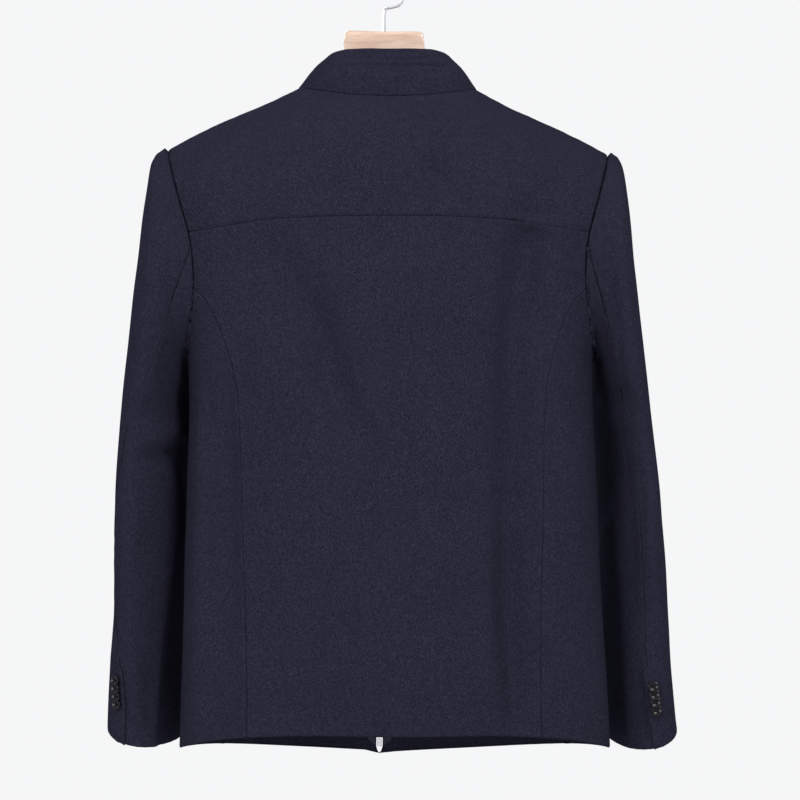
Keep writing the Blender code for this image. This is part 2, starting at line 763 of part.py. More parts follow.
def collar_points(rise):
    """The collar's outer face at a share of its height, all round."""
    base, along = collar_base()
    half = np.abs(along)
    side = np.sign(along)
    top = np.stack(
        [COLLAR_X + side * read(COLLAR_TOP, 1, half), read(COLLAR_TOP, 2, half), read(COLLAR_TOP, 3, half)], -1
    )
    for end, sign in ((0, 1), (-1, -1)):
        top[end, 0] = centre_front_x(FRONT_NECK[0][1]) + sign * ZIP_GAP / 2
    lean = top - base
    swell = np.cross(np.gradient(base, axis=0), lean)
    swell /= np.linalg.norm(swell, axis=-1, keepdims=True)
    away = outward(base, swell, np.array([COLLAR_X, 0, base[:, 2].mean()]))
    return base + lean * rise + away * COLLAR_ROLL * math.sin(math.pi * rise)


def grid_normals(points):
    n = np.cross(np.gradient(points, axis=0), np.gradient(points, axis=1))
    return n / np.linalg.norm(n, axis=-1, keepdims=True)


def make_collar(wool):
    outer = np.stack([collar_points(rise) for rise in np.linspace(0, 1, COLLAR_ROWS + 1)])
    centre = np.array([COLLAR_X, 0.0, 0.0]) + outer * (0, 0, 1)
    normals = outward(outer, grid_normals(outer), centre)
    wall("collar", *draw_in(outer, outer - CLOTH * normals, SEAM_GAP * 0.7), wool)
    return outer, normals


def sleeve_ring(rows, along, angles):
    """The sleeve's plain oval at a share of its length, at these angles, on the left side."""
    at = along * (len(rows) - 1)
    table = [(i, *row) for i, row in enumerate(rows)]
    out_x, out_z, in_x, in_z, mid_y, half_y, turn, drop = (read(table, i + 1, at) for i in range(8))
    swing = turn * half_y
    reach = (out_x - in_x) / 2
    across = np.sqrt(np.maximum(reach**2 - swing**2, 1e-6))
    c, s = np.cos(angles), np.sin(angles)
    x = (out_x + in_x) / 2 + across * c + swing * s
    y = mid_y + half_y * s
    z = (out_z + in_z) / 2 + (out_z - in_z) / 2 * c - drop * s
    return np.stack([x, y, z], axis=-1)


def sleeve_angles(name, along):
    """Angles of the sleeve's points, so that its seams stay on the same columns."""
    back, front = (np.radians(read(SLEEVE_SEAMS[name], i, along)) for i in (1, 2))
    steps = np.arange(ARM_STEPS)
    knots = [SLEEVE_FRONT - ARM_STEPS, SLEEVE_BACK, SLEEVE_FRONT, SLEEVE_BACK + ARM_STEPS]
    turn = 2 * math.pi
    return np.interp(steps, knots, [front - turn, back, front, back + turn])


def sleeve_fold(name, along, angles):
    """How far the sleeve's folds stand out."""
    depth = np.zeros_like(angles)
    for centre, angle, length, spread, slope, deep in SLEEVE_FOLDS[name]:
        off = (np.degrees(angles) - angle + 180) % 360 - 180
        place = (along - centre - slope * off) / length
        depth += deep * np.exp(-(place**2) - (off / spread) ** 2)
    return depth


def armhole_seam(name):
    """Points of the armhole seam and the body's outward directions there."""
    girth, fall = ARM[:, 0] * SLEEVES[name][0], ARM[:, 1]
    seam = skin(girth, fall)
    return seam, outward(seam, skin_normal(girth, fall), np.array([0, 0, -0.35]))


def sleeve_skin(name, along):
    """The ring of a sleeve's outer face at a share of its length, on its own side."""
    sign, rows = SLEEVES[name]
    angles = sleeve_angles(name, along)
    ring = sleeve_ring(rows, along, angles)
    away = ring - ring.mean(axis=0)
    away[:, 2] = 0
    away /= np.maximum(np.linalg.norm(away, axis=1, keepdims=True), 1e-6)
    ring = ring + away * sleeve_fold(name, along, angles)[:, None]
    seam = armhole_seam(name)[0] * (sign, 1, 1)
    start = sleeve_ring(rows, 0.0, sleeve_angles(name, 0.0))
    take = 1 - min(1.0, along / HEAD_BLEND)
    take = take * take * (3 - 2 * take)
    return (ring + take * (seam - start)) * (sign, 1, 1)


def vent_line(name):
    """Shares along the sleeve's back seam and their distances from the cuff."""
    shares = np.linspace(1, 0.7, 121)
    line = np.stack([sleeve_skin(name, share)[SLEEVE_BACK] for share in shares])
    return shares, np.concatenate([[0], np.cumsum(np.linalg.norm(np.diff(line, axis=0), axis=1))])


def sleeve_shares(name):
    """Shares of the sleeve's length where its rings lie: closer at the head, and set by the vent at the cuff."""
    shares, up = vent_line(name)
    cuff = np.interp([VENT_LENGTH + 0.012, VENT_LENGTH, *VENT_STEPS, 0.045, 0.0], up, shares)
    return np.concatenate([[0.0, 0.035, 0.08, 0.13], np.linspace(0.185, cuff[0], SLEEVE_ROWS)[:-1], cuff])


def sleeve_grid(name):
    """Outer and inner points of a whole sleeve, ring by ring."""
    outer = np.stack([sleeve_skin(name, share) for share in sleeve_shares(name)])
    wrapped = np.concatenate([outer[:, -1:], outer, outer[:, :1]], axis=1)
    normals = grid_normals(wrapped)[:, 1:-1]
    normals = outward(outer, normals, outer.mean(axis=1, keepdims=True))
    inner = outer - CLOTH * normals
    body = armhole_seam(name)[1]
    share = np.clip(4 * (body * normals[0]).sum(1, keepdims=True) - 2, 0, 1)
    inner[0] = outer[0] - CLOTH * (share * body + (1 - share) * normals[0])
    away = outer[1] - outer[0]
    away *= SEAM_GAP * 0.5 / np.linalg.norm(away, axis=1, keepdims=True)
    away += SEAM_GAP * 2.5 * (1 - share) * body
    outer[0] += away
    inner[0] += away
    return outer, inner, normals


def lap_vent(outer, inner, normals):
    """Lifts the top sleeve's vent edge over the under sleeve, then carries it a little past the seam."""
    length = np.linalg.norm(np.diff(outer[:, -1], axis=0), axis=1)
    from_cuff = np.concatenate([np.cumsum(length[::-1])[::-1], [0]])
    lift, lap = (np.clip((VENT_LENGTH - from_cuff - start) / 0.003, 0, 1)[:, None] for start in (0.0, 0.0035))
    across = outer[:, -1] - outer[:, -2]
    across /= np.linalg.norm(across, axis=1, keepdims=True)
    for grid in (outer, inner):
        grid[:, -1] += normals[:, -1] * VENT_LIFT * lift + across * VENT_LAP * lap
        grid[:, -2] += normals[:, -2] * VENT_LIFT * 0.4 * lift


def make_sleeve(name, wool):
    """A sleeve's two pieces; gives back the top piece's outer points."""
    outer, inner, normals = sleeve_grid(name)
    top = np.arange(SLEEVE_FRONT - ARM_STEPS, SLEEVE_BACK + 1)
    under = np.arange(SLEEVE_BACK, SLEEVE_FRONT + 1)
    wall(f"sleeve_under_{name}", *draw_in(outer[:, under], inner[:, under], SEAM_GAP * 0.6), wool)
    over, below = draw_in(outer[:, top], inner[:, top], SEAM_GAP * 0.6)
    lap_vent(over, below, normals[:, top])
    wall(f"sleeve_top_{name}", over, below, wool)
    return over


def frame_at(point, normal, along):
    """A matrix whose Z is the normal, with Y as near along as can be."""
    z = Vector(normal).normalized()
    x = Vector(along).cross(z).normalized()
    y = z.cross(x)
    turned = Matrix((x, y, z)).transposed().to_4x4()
    turned.translation = Vector(point)
    return turned


def button_mesh(name):
    """A turned button: a flat back, a round rim and a dished face with its thread bar."""
    profile = [
        # radius share, height share
        (0.00, 0.00),
        (0.86, 0.00),
        (1.00, 0.45),
        (0.90, 1.00),
        (0.70, 0.92),
        (0.50, 0.62),
        (0.00, 0.60),
    ]
    bm = bmesh.new()
    line = [bm.verts.new((BUTTON_R * r, 0, BUTTON_T * (h - 0.5))) for r, h in profile]
    edges = [bm.edges.new(pair) for pair in zip(line, line[1:])]
    bmesh.ops.spin(
        bm, geom=line + edges, cent=(0, 0, 0), axis=(0, 0, 1), angle=2 * math.pi, steps=12, use_merge=True
    )
    bmesh.ops.remove_doubles(bm, verts=bm.verts[:], dist=1e-6)
    bmesh.ops.recalc_face_normals(bm, faces=bm.faces[:])
    mesh = bpy.data.meshes.new(name)
    bm.to_mesh(mesh)
    bm.free()
    mesh.shade_smooth()
    mesh.set_sharp_from_angle(angle=math.radians(50))
    return mesh


def make_buttons(name, top, horn):
    """Four buttons that overlap like shingles on the top sleeve, beside its vent edge."""
    mesh = button_mesh("cuff_button")
    edge = top[:, -1]
    up = np.concatenate([np.cumsum(np.linalg.norm(np.diff(edge, axis=0), axis=1)[::-1])[::-1], [0]])
    centre = LAST_BUTTON_UP + (BUTTON_COUNT - 1) / 2 * BUTTON_PITCH

    def at(height):
        """A point beside the vent, the way across to the vent, and the middle of the sleeve."""
        row = np.stack([[np.interp(height, up[::-1], top[::-1, j, k]) for k in range(3)] for j in (-3, -2, -1)])
        middle = np.array([np.interp(height, up[::-1], top.mean(axis=1)[::-1, k]) for k in range(3)])
        reach = np.concatenate([[0], np.cumsum(np.linalg.norm(np.diff(row[::-1], axis=0), axis=1))])
        point = np.array([np.interp(BUTTON_IN, reach, row[::-1, k]) for k in range(3)])
        return point, row[-1] - row[-2], middle

    point, across, middle = at(centre)
    down = at(centre - 0.01)[0] - at(centre + 0.01)[0]
    normal = np.cross(down, across)
    normal *= np.sign(np.dot(normal, point - middle))
    rise = SEAM_GAP * 1.8 + BUTTON_T / 2 * math.cos(BUTTON_TILT) + BUTTON_R * math.sin(BUTTON_TILT)
    place = frame_at(point, normal, down)
    for number in range(BUTTON_COUNT):
        along = (number - (BUTTON_COUNT - 1) / 2) * BUTTON_PITCH
        node = keep(f"cuff_button_{name}_{number + 1}", mesh.copy(), horn)
        tilt = Matrix.Rotation(BUTTON_TILT, 4, "X")
        node.matrix_world = place @ Matrix.Translation((0, along, rise)) @ tilt


def zip_path():
    """Points, sideways and outward directions of the zip's centre line, from the hem to the collar's top."""
    heights = front_heights()
    sides = [skin(*zip_edge(heights, sign).T) for sign in (1, -1)]
    body = (sides[0] + sides[1]) / 2
    rises = np.linspace(0, 1, COLLAR_ROWS + 1)[1:]
    collar = np.stack([(collar_points(r)[0] + collar_points(r)[-1]) / 2 for r in rises])
    points = np.concatenate([body, collar])
    along = np.gradient(points, axis=0)
    along /= np.linalg.norm(along, axis=1, keepdims=True)
    sideways = np.tile([1.0, 0.0, 0.0], (len(points), 1))
    outwards = np.cross(sideways, along)
    outwards *= -np.sign(outwards[:, 1:2])
    return points, outwards / np.linalg.norm(outwards, axis=1, keepdims=True)


def path_between(low, high):
    """The zip's path cut to lie between two distances from the hem."""
    points, outwards = zip_path()
    length = np.concatenate([[0], np.cumsum(np.linalg.norm(np.diff(points, axis=0), axis=1))])
    if high <= 0:
        high += length[-1]
    marks = np.concatenate([[low], length[(length > low + 0.003) & (length < high - 0.003)], [high]])
    cut = [np.stack([np.interp(marks, length, values[:, i]) for i in range(3)], -1) for values in (points, outwards)]
    cut[1] /= np.linalg.norm(cut[1], axis=1, keepdims=True)
    return cut


def strip(name, low, high, left, right, depth, thickness, finish):
    """A flat strip along the zip, between two sideways distances, at a depth behind the fronts' face."""
    points, outwards = path_between(low, high)
    across = np.array([left, right])[None, :, None] * np.array([1.0, 0, 0])
    outer = points[:, None] + across - outwards[:, None] * depth
    return wall(name, outer, outer - outwards[:, None] * thickness, finish)


def slider_frame():
    """Where the slider sits: its centre on the fronts' face, looking out, with up along the zip."""
    points, outwards = path_between(0, -SLIDER_FROM_TOP - SLIDER_LENGTH / 2)
    tangent = points[-1] - points[-2]
    return frame_at(points[-1], outwards[-1], tangent)


def box_mesh(name, size, centre):
    bm = bmesh.new()
    bmesh.ops.create_cube(bm, size=1.0)
    bmesh.ops.scale(bm, verts=bm.verts[:], vec=size)
    bmesh.ops.translate(bm, verts=bm.verts[:], vec=centre)
    mesh = bpy.data.meshes.new(name)
    bm.to_mesh(mesh)
    bm.free()
    return mesh


def unite(node, other):
    joined = node.modifiers.new("Join", "BOOLEAN")
    joined.operation = "UNION"
    joined.object = other
    other.hide_render = True
    other.display_type = "WIRE"


def soften(node, width):
    bevel = node.modifiers.new("Soften", "BEVEL")
    bevel.width = width
    bevel.segments = 1
    bevel.limit_method = "ANGLE"


def slider_plate():
    """The slider's face plate, wide at the top and narrow at the foot, in its own frame."""
    half, long = SLIDER_W / 2, SLIDER_LENGTH / 2
    outline = [(-0.6, -1), (0.6, -1), (1, 0.1), (0.8, 1), (-0.8, 1), (-1, 0.1)]
    bm = bmesh.new()
    face = bm.faces.new([bm.verts.new((half * x, long * y, SEAM_GAP)) for x, y in outline])
    raised = bmesh.ops.extrude_face_region(bm, geom=[face])
    top = [v for v in raised["geom"] if isinstance(v, bmesh.types.BMVert)]
    bmesh.ops.translate(bm, verts=top, vec=(0, 0, SLIDER_T))
    bmesh.ops.recalc_face_normals(bm, faces=bm.faces[:])
    mesh = bpy.data.meshes.new("zip_slider")
    bm.to_mesh(mesh)
    bm.free()
    return mesh


def bail_mesh():
    """The arch that holds the pull, standing on the slider's face."""
    foot = SEAM_GAP + SLIDER_T / 2
    inner_top = SEAM_GAP + SLIDER_T + PIVOT_UP + 0.0012
    outer_top = inner_top + BAIL_T
    out, into = BAIL_REACH + BAIL_T / 2, BAIL_REACH - BAIL_T / 2
    outline = [
        (-out, foot),
        (-into, foot),
        (-into, inner_top),
        (into, inner_top),
        (into, foot),
        (out, foot),
        (out, outer_top - 0.0006),
        (out - 0.0006, outer_top),
        (-out + 0.0006, outer_top),
        (-out, outer_top - 0.0006),
    ]
    bm = bmesh.new()
    face = bm.faces.new([bm.verts.new((-BAIL_W / 2, y, z)) for y, z in outline])
    raised = bmesh.ops.extrude_face_region(bm, geom=[face])
    far = [v for v in raised["geom"] if isinstance(v, bmesh.types.BMVert)]
    bmesh.ops.translate(bm, verts=far, vec=(BAIL_W, 0, 0))
    bmesh.ops.recalc_face_normals(bm, faces=bm.faces[:])
    mesh = bpy.data.meshes.new("bail")
    bm.to_mesh(mesh)
    bm.free()
    return mesh


def make_slider(steel):
    place = slider_frame()
    slider = keep("zip_slider", slider_plate(), steel)
    slider.matrix_world = place
    core_deep = CHAIN_DEPTH + CHAIN_T
    core = box_mesh("core", (CHAIN_W, SLIDER_LENGTH * 0.9, core_deep + 0.001), (0, 0, 0.0005 - core_deep / 2))
    core = keep("slider_core", core, steel)
    core.matrix_world = place
    unite(slider, core)
    bail = keep("slider_bail", bail_mesh(), steel)
    bail.matrix_world = place
    unite(slider, bail)


def make_pull(steel):
    """The pull: a plate with a slot at its head, turning about the bar over the slot."""
    half, slot = PULL_W / 2, PULL_W / 2 - 0.0015
    columns = [-half, -slot, slot, half]
    rows = [PULL_BAR / 2, -PULL_BAR / 2, -PULL_BAR / 2 - PULL_HOLE, -PULL_LENGTH + 0.002, -PULL_LENGTH]
    narrow = [1.0, 1.0, 1.0, 0.86, 0.5]
    bm = bmesh.new()
    grid = [[bm.verts.new((x * share, y, -PULL_T / 2)) for x in columns] for y, share in zip(rows, narrow)]
    faces = [
        bm.faces.new((grid[i][j], grid[i][j + 1], grid[i + 1][j + 1], grid[i + 1][j]))
        for i in range(len(rows) - 1)
        for j in range(3)
        if (i, j) != (1, 1)
    ]
    raised = bmesh.ops.extrude_face_region(bm, geom=faces)
    over = [v for v in raised["geom"] if isinstance(v, bmesh.types.BMVert)]
    bmesh.ops.translate(bm, verts=over, vec=(0, 0, PULL_T))
    bmesh.ops.recalc_face_normals(bm, faces=bm.faces[:])
    mesh = bpy.data.meshes.new("zip_pull")
    bm.to_mesh(mesh)
    bm.free()
    pull = keep("zip_pull", mesh, steel)
    pull.matrix_world = slider_frame() @ Matrix.Translation((0, 0, SEAM_GAP + SLIDER_T + PIVOT_UP))
    soften(pull, 0.0003)


def make_tape(name, front, collar, finish):
    """One side of the zip's tape, behind the front's edge and the collar's end."""
    rows = []
    lines = [(points, normals) for points, normals in zip(*front)][1:]
    lines += [(points, normals) for points, normals in zip(*collar)][1:]
    for points, normals in lines:
        reach = np.concatenate([[0], np.cumsum(np.linalg.norm(np.diff(points[:5], axis=0), axis=1))])
        marks = (TAPE_IN, TAPE_W / 2, TAPE_W)
        rows.append([[np.interp(m, reach, values[:5, k]) for k in range(3)] for values in (points, normals) for m in marks])
    rows = np.array(rows)
    points, normals = rows[:, :3], rows[:, 3:]
    points[-1] += (points[-2] - points[-1]) * 0.1
    outer = points - normals * TAPE_DEPTH
    wall(f"zip_tape_{name}", outer, outer - normals * TAPE_T, finish)


def make_zip(fronts, collar, tape, steel):
    box_low = HEM_TOP
    chain_low = box_low + BOX_LENGTH + SEAM_GAP
    slider_low = SLIDER_FROM_TOP + SLIDER_LENGTH + SEAM_GAP
    strip("zip_chain", chain_low, -slider_low, -CHAIN_W / 2, CHAIN_W / 2, CHAIN_DEPTH, CHAIN_T, steel)
    strip("zip_box", box_low, box_low + BOX_LENGTH, -CHAIN_W / 2, CHAIN_W / 2, CHAIN_DEPTH, 0.0042, steel)
    points, normals = collar
    make_tape("left", fronts["left"], collar, tape)
    make_tape("right", fronts["right"], (points[:, ::-1], normals[:, ::-1]), tape)
    make_slider(steel)
    make_pull(steel)


def hook_points():
    """The hook's centre line in the XZ plane: up the shank, aside, and round the arch to its tip."""
    radius = HOOK_ARCH + HOOK_R
    points = [(0.0, BLOCK_TOP - HANG + SEAM_GAP), *HOOK_FOOT]
    for turn in np.radians(evenly(180, -32, 18)):
        points.append((radius * math.cos(turn), radius * math.sin(turn) - HOOK_ARCH))
    return points


def make_hook(chrome):
    line = bpy.data.curves.new("hanger_hook", "CURVE")
    line.dimensions = "3D"
    line.bevel_depth = HOOK_R
    line.bevel_resolution = 2
    line.use_fill_caps = True
    points = [(x, 0.0, z) for x, z in hook_points()]
    run = line.splines.new("POLY")
    run.points.add(len(points) - 1)
    for spot, place in zip(run.points, points):
        spot.co = (*place, 1)
    node = bpy.data.objects.new("hanger_hook", line)
    line.materials.append(chrome)
    bpy.context.scene.collection.objects.link(node)


def make_hanger(wood):
    """The wood: a section with a rounded top, swept from end to end."""
    bm = bmesh.new()
    grid = []
    for side in (-1, 1):
        for out, top, bottom, thick, crown in HANGER[::-1] if side < 0 else HANGER[1:]:
            x = side * out
            top += read(LIFT, 1, x)
            ring = []
            for step in range(7):
                turn = math.pi * step / 6
                ring.append((x, thick * math.cos(turn), top - crown + crown * math.sin(turn)))
            ring.append((x, -thick, bottom + 0.003))
            ring.append((x, -thick + 0.003, bottom))
            ring.append((x, thick - 0.003, bottom))
            ring.append((x, thick, bottom + 0.003))
            grid.append([bm.verts.new(p) for p in ring])
    count = len(grid[0])
    for low, high in zip(grid, grid[1:]):
        for j in range(count):
            k = (j + 1) % count
            bm.faces.new((low[j], low[k], high[k], high[j]))
    bm.faces.new(grid[0])
    bm.faces.new(grid[-1][::-1])
    bmesh.ops.recalc_face_normals(bm, faces=bm.faces[:])
    bmesh.ops.triangulate(bm, faces=bm.faces[:])
    mesh = bpy.data.meshes.new("hanger_wood")
    bm.to_mesh(mesh)
    bm.free()
    mesh.shade_smooth()
    mesh.set_sharp_from_angle(angle=math.radians(40))
    keep("hanger_wood", mesh, wood)


def main():
    for old in list(bpy.data.objects):
        bpy.data.objects.remove(old)
    wool = material("navy wool", WOOL, 0.9)
    tape = material("zip tape", ZIP_CLOTH, 0.8)
    steel = material("zip metal", STEEL, 0.35, 1.0)
    chrome = material("hook chrome", CHROME, 0.12, 1.0)
    wood = material("hanger wood", WOOD, 0.35)
    horn = material("horn buttons", HORN, 0.25)
    make_back(wool)
    make_side_panels(wool)
    fronts = make_fronts(wool)
    collar = make_collar(wool)
    for name in SLEEVES:
        make_buttons(name, make_sleeve(name, wool), horn)
    make_zip(fronts, collar, tape, steel)
    make_hanger(wood)
    hang = bpy.data.objects.new("hang", None)
    hang.location.z = -HANG
    for node in bpy.data.objects:
        if node.type == "MESH":
            node.parent = hang
    bpy.context.scene.collection.objects.link(hang)
    make_hook(chrome)


main()
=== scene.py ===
"""Looks for a navy wool stand collar jacket on a wooden coat hanger, seen from the back.

Each cloth piece is a thin shell raised from its own solid's outer face: the face is made fine, its
edges are rolled at the seams, folds and drape are worked in, and it gets the cloth's thickness.
"""

import math

import bmesh
import bpy
import numpy as np
from mathutils import Matrix, Vector, noise
from mathutils.bvhtree import BVHTree
from mathutils.kdtree import KDTree


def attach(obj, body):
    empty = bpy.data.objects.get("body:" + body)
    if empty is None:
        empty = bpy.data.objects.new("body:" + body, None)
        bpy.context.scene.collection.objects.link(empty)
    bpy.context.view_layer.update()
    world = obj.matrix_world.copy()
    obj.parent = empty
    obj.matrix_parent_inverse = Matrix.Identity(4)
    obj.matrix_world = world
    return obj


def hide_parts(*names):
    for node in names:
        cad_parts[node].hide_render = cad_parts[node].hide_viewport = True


CLOTH = 0.0018  # thickness of the cloth
WELD = 1e-6  # points this near to each other are one
RIM_SHORT, RIM_LONG = 0.0014, 0.0027  # lengths of a solid's edges through the cloth, at its rim
RIM_STRAIGHT = (0.85, 0.75, 0.65, 0.5)  # least cosine to the cloth's normal, tried one after another
FREED_SHARE = 0.65  # the outer face is free when no face has more of the solid's area than this
FINE = 3  # rounds of subdivision
IRONING = 6  # rounds of ironing out after it
EDGE_LOOPS = (0.0016, 0.0006)  # rows of faces added inside each panel's edge

# Seams: how near an edge is to the panel that it is sewn to, and how far it runs on to meet it
SEAM_NEAR, SEAM_REACH = 0.0034, 0.00035
ARMHOLE_NEAR = 0.0050  # the edges at the armholes lie further apart
ARMHOLE_FOOT, ARMHOLE_IN = -0.360, 0.130  # the armholes are above this height and outside this X
COLLAR_REACH = 0.0017  # the collar stands at an angle to the yoke
FRONT_ARM_REACH, FRONT_ARM_DEEP = 0.0016, 0.020  # at the arms' front, fully from this far before Y 0
SEAM_FADE = (0.8, 1.2)  # the drawing together fades out over these shares of the nearness
SEAM_PULL = 0.008  # a panel gives this far in where its edge is drawn to its neighbour

# A sleeve's side and the body's swell towards each other where they hang close, below this height
CLOSE_BY, CLOSE_TOP = 0.0050, -0.400
CLOSE_GAP = 0.00035  # each leaves this much of the gap open
CLOSE_SIDEWAYS, CLOSE_FACING = 0.5, (0.4, 0.8)  # how far they face sideways, and each other
CLOSE_LARGE = (0.0020, 0.0026)  # a larger swell is halved

# Unevenness of the cloth: how far it stands out, and its lumps' size along X, Y and Z
PUCKER, PUCKER_LUMPS, PUCKER_REACH = 0.00050, (0.011, 0.011, 0.011), 0.008
DRAPE, DRAPE_LUMPS = 0.0017, (0.075, 0.075, 0.170)
RIPPLE, RIPPLE_LUMPS = 0.0006, (0.032, 0.032, 0.060)
NOISE_STEP = 7.31  # from one noise to the next
QUIET_EDGE = 0.014  # drape and folds are weaker this near to an edge, down to these shares of them
DRAPE_AT_EDGE, FOLDS_AT_EDGE = 0.30, 0.45

WOOL_PANELS = [
    # node, group, flat width, flat length, flat area, rests on
    ("back_yoke", "body", 0.490, 0.190, 0.0709, ["hanger_wood", "back_panel"]),
    ("back_panel", "body", 0.400, 0.565, 0.1926, ["back_yoke"]),
    ("side_panel_left", "body", 0.185, 0.500, 0.0832, ["back_panel", "front_left"]),
    ("side_panel_right", "body", 0.185, 0.500, 0.0829, ["back_panel", "front_right"]),
    ("front_left", "body", 0.270, 0.740, 0.1359, ["hanger_wood", "back_yoke"]),
    ("front_right", "body", 0.290, 0.740, 0.1465, ["hanger_wood", "back_yoke"]),
    ("collar", "collar", 0.470, 0.070, 0.0232, ["back_yoke", "front_left", "front_right"]),
    ("sleeve_top_left", "sleeve_left", 0.260, 0.660, 0.1104, ["back_yoke", "front_left"]),
    ("sleeve_under_left", "sleeve_left", 0.160, 0.560, 0.0720, ["sleeve_top_left", "side_panel_left"]),
    ("sleeve_top_right", "sleeve_right", 0.260, 0.660, 0.1160, ["back_yoke", "front_right"]),
    ("sleeve_under_right", "sleeve_right", 0.130, 0.560, 0.0578, ["sleeve_top_right", "side_panel_right"]),
]

# Middle lines of the groups' hollow shapes: a panel's outside faces away from its group's line
MIDDLES = {
    "body": ((-0.008, 0.002, -0.11), (-0.010, 0.004, -0.86)),
    "collar": ((-0.0052, -0.004, -0.06), (-0.0052, -0.004, -0.26)),
    "sleeve_left": ((0.236, 0.000, -0.21), (0.262, -0.038, -0.84)),
    "sleeve_right": ((-0.244, 0.000, -0.21), (-0.283, -0.038, -0.84)),
}

# Roll of a sewn edge and of a folded edge: distance from the edge, and how far the cloth lies in
SEAM_ROLL = [(0.0, -0.00150), (0.0006, -0.00085), (0.0016, -0.00010), (0.0032, 0.00010), (0.010, 0.0)]
STITCHED_ROLL = [
    (0.0, -0.00160), (0.0006, -0.00080), (0.0014, 0.00008),
    (0.0027, -0.00036), (0.0044, 0.00014), (0.010, 0.0),
]
FREE_ROLL = [(0.0, -0.00100), (0.0006, -0.00030), (0.0022, 0.0)]
FRONT_ARM_ROLL = 0.85  # share of the roll that the front of an armhole goes without

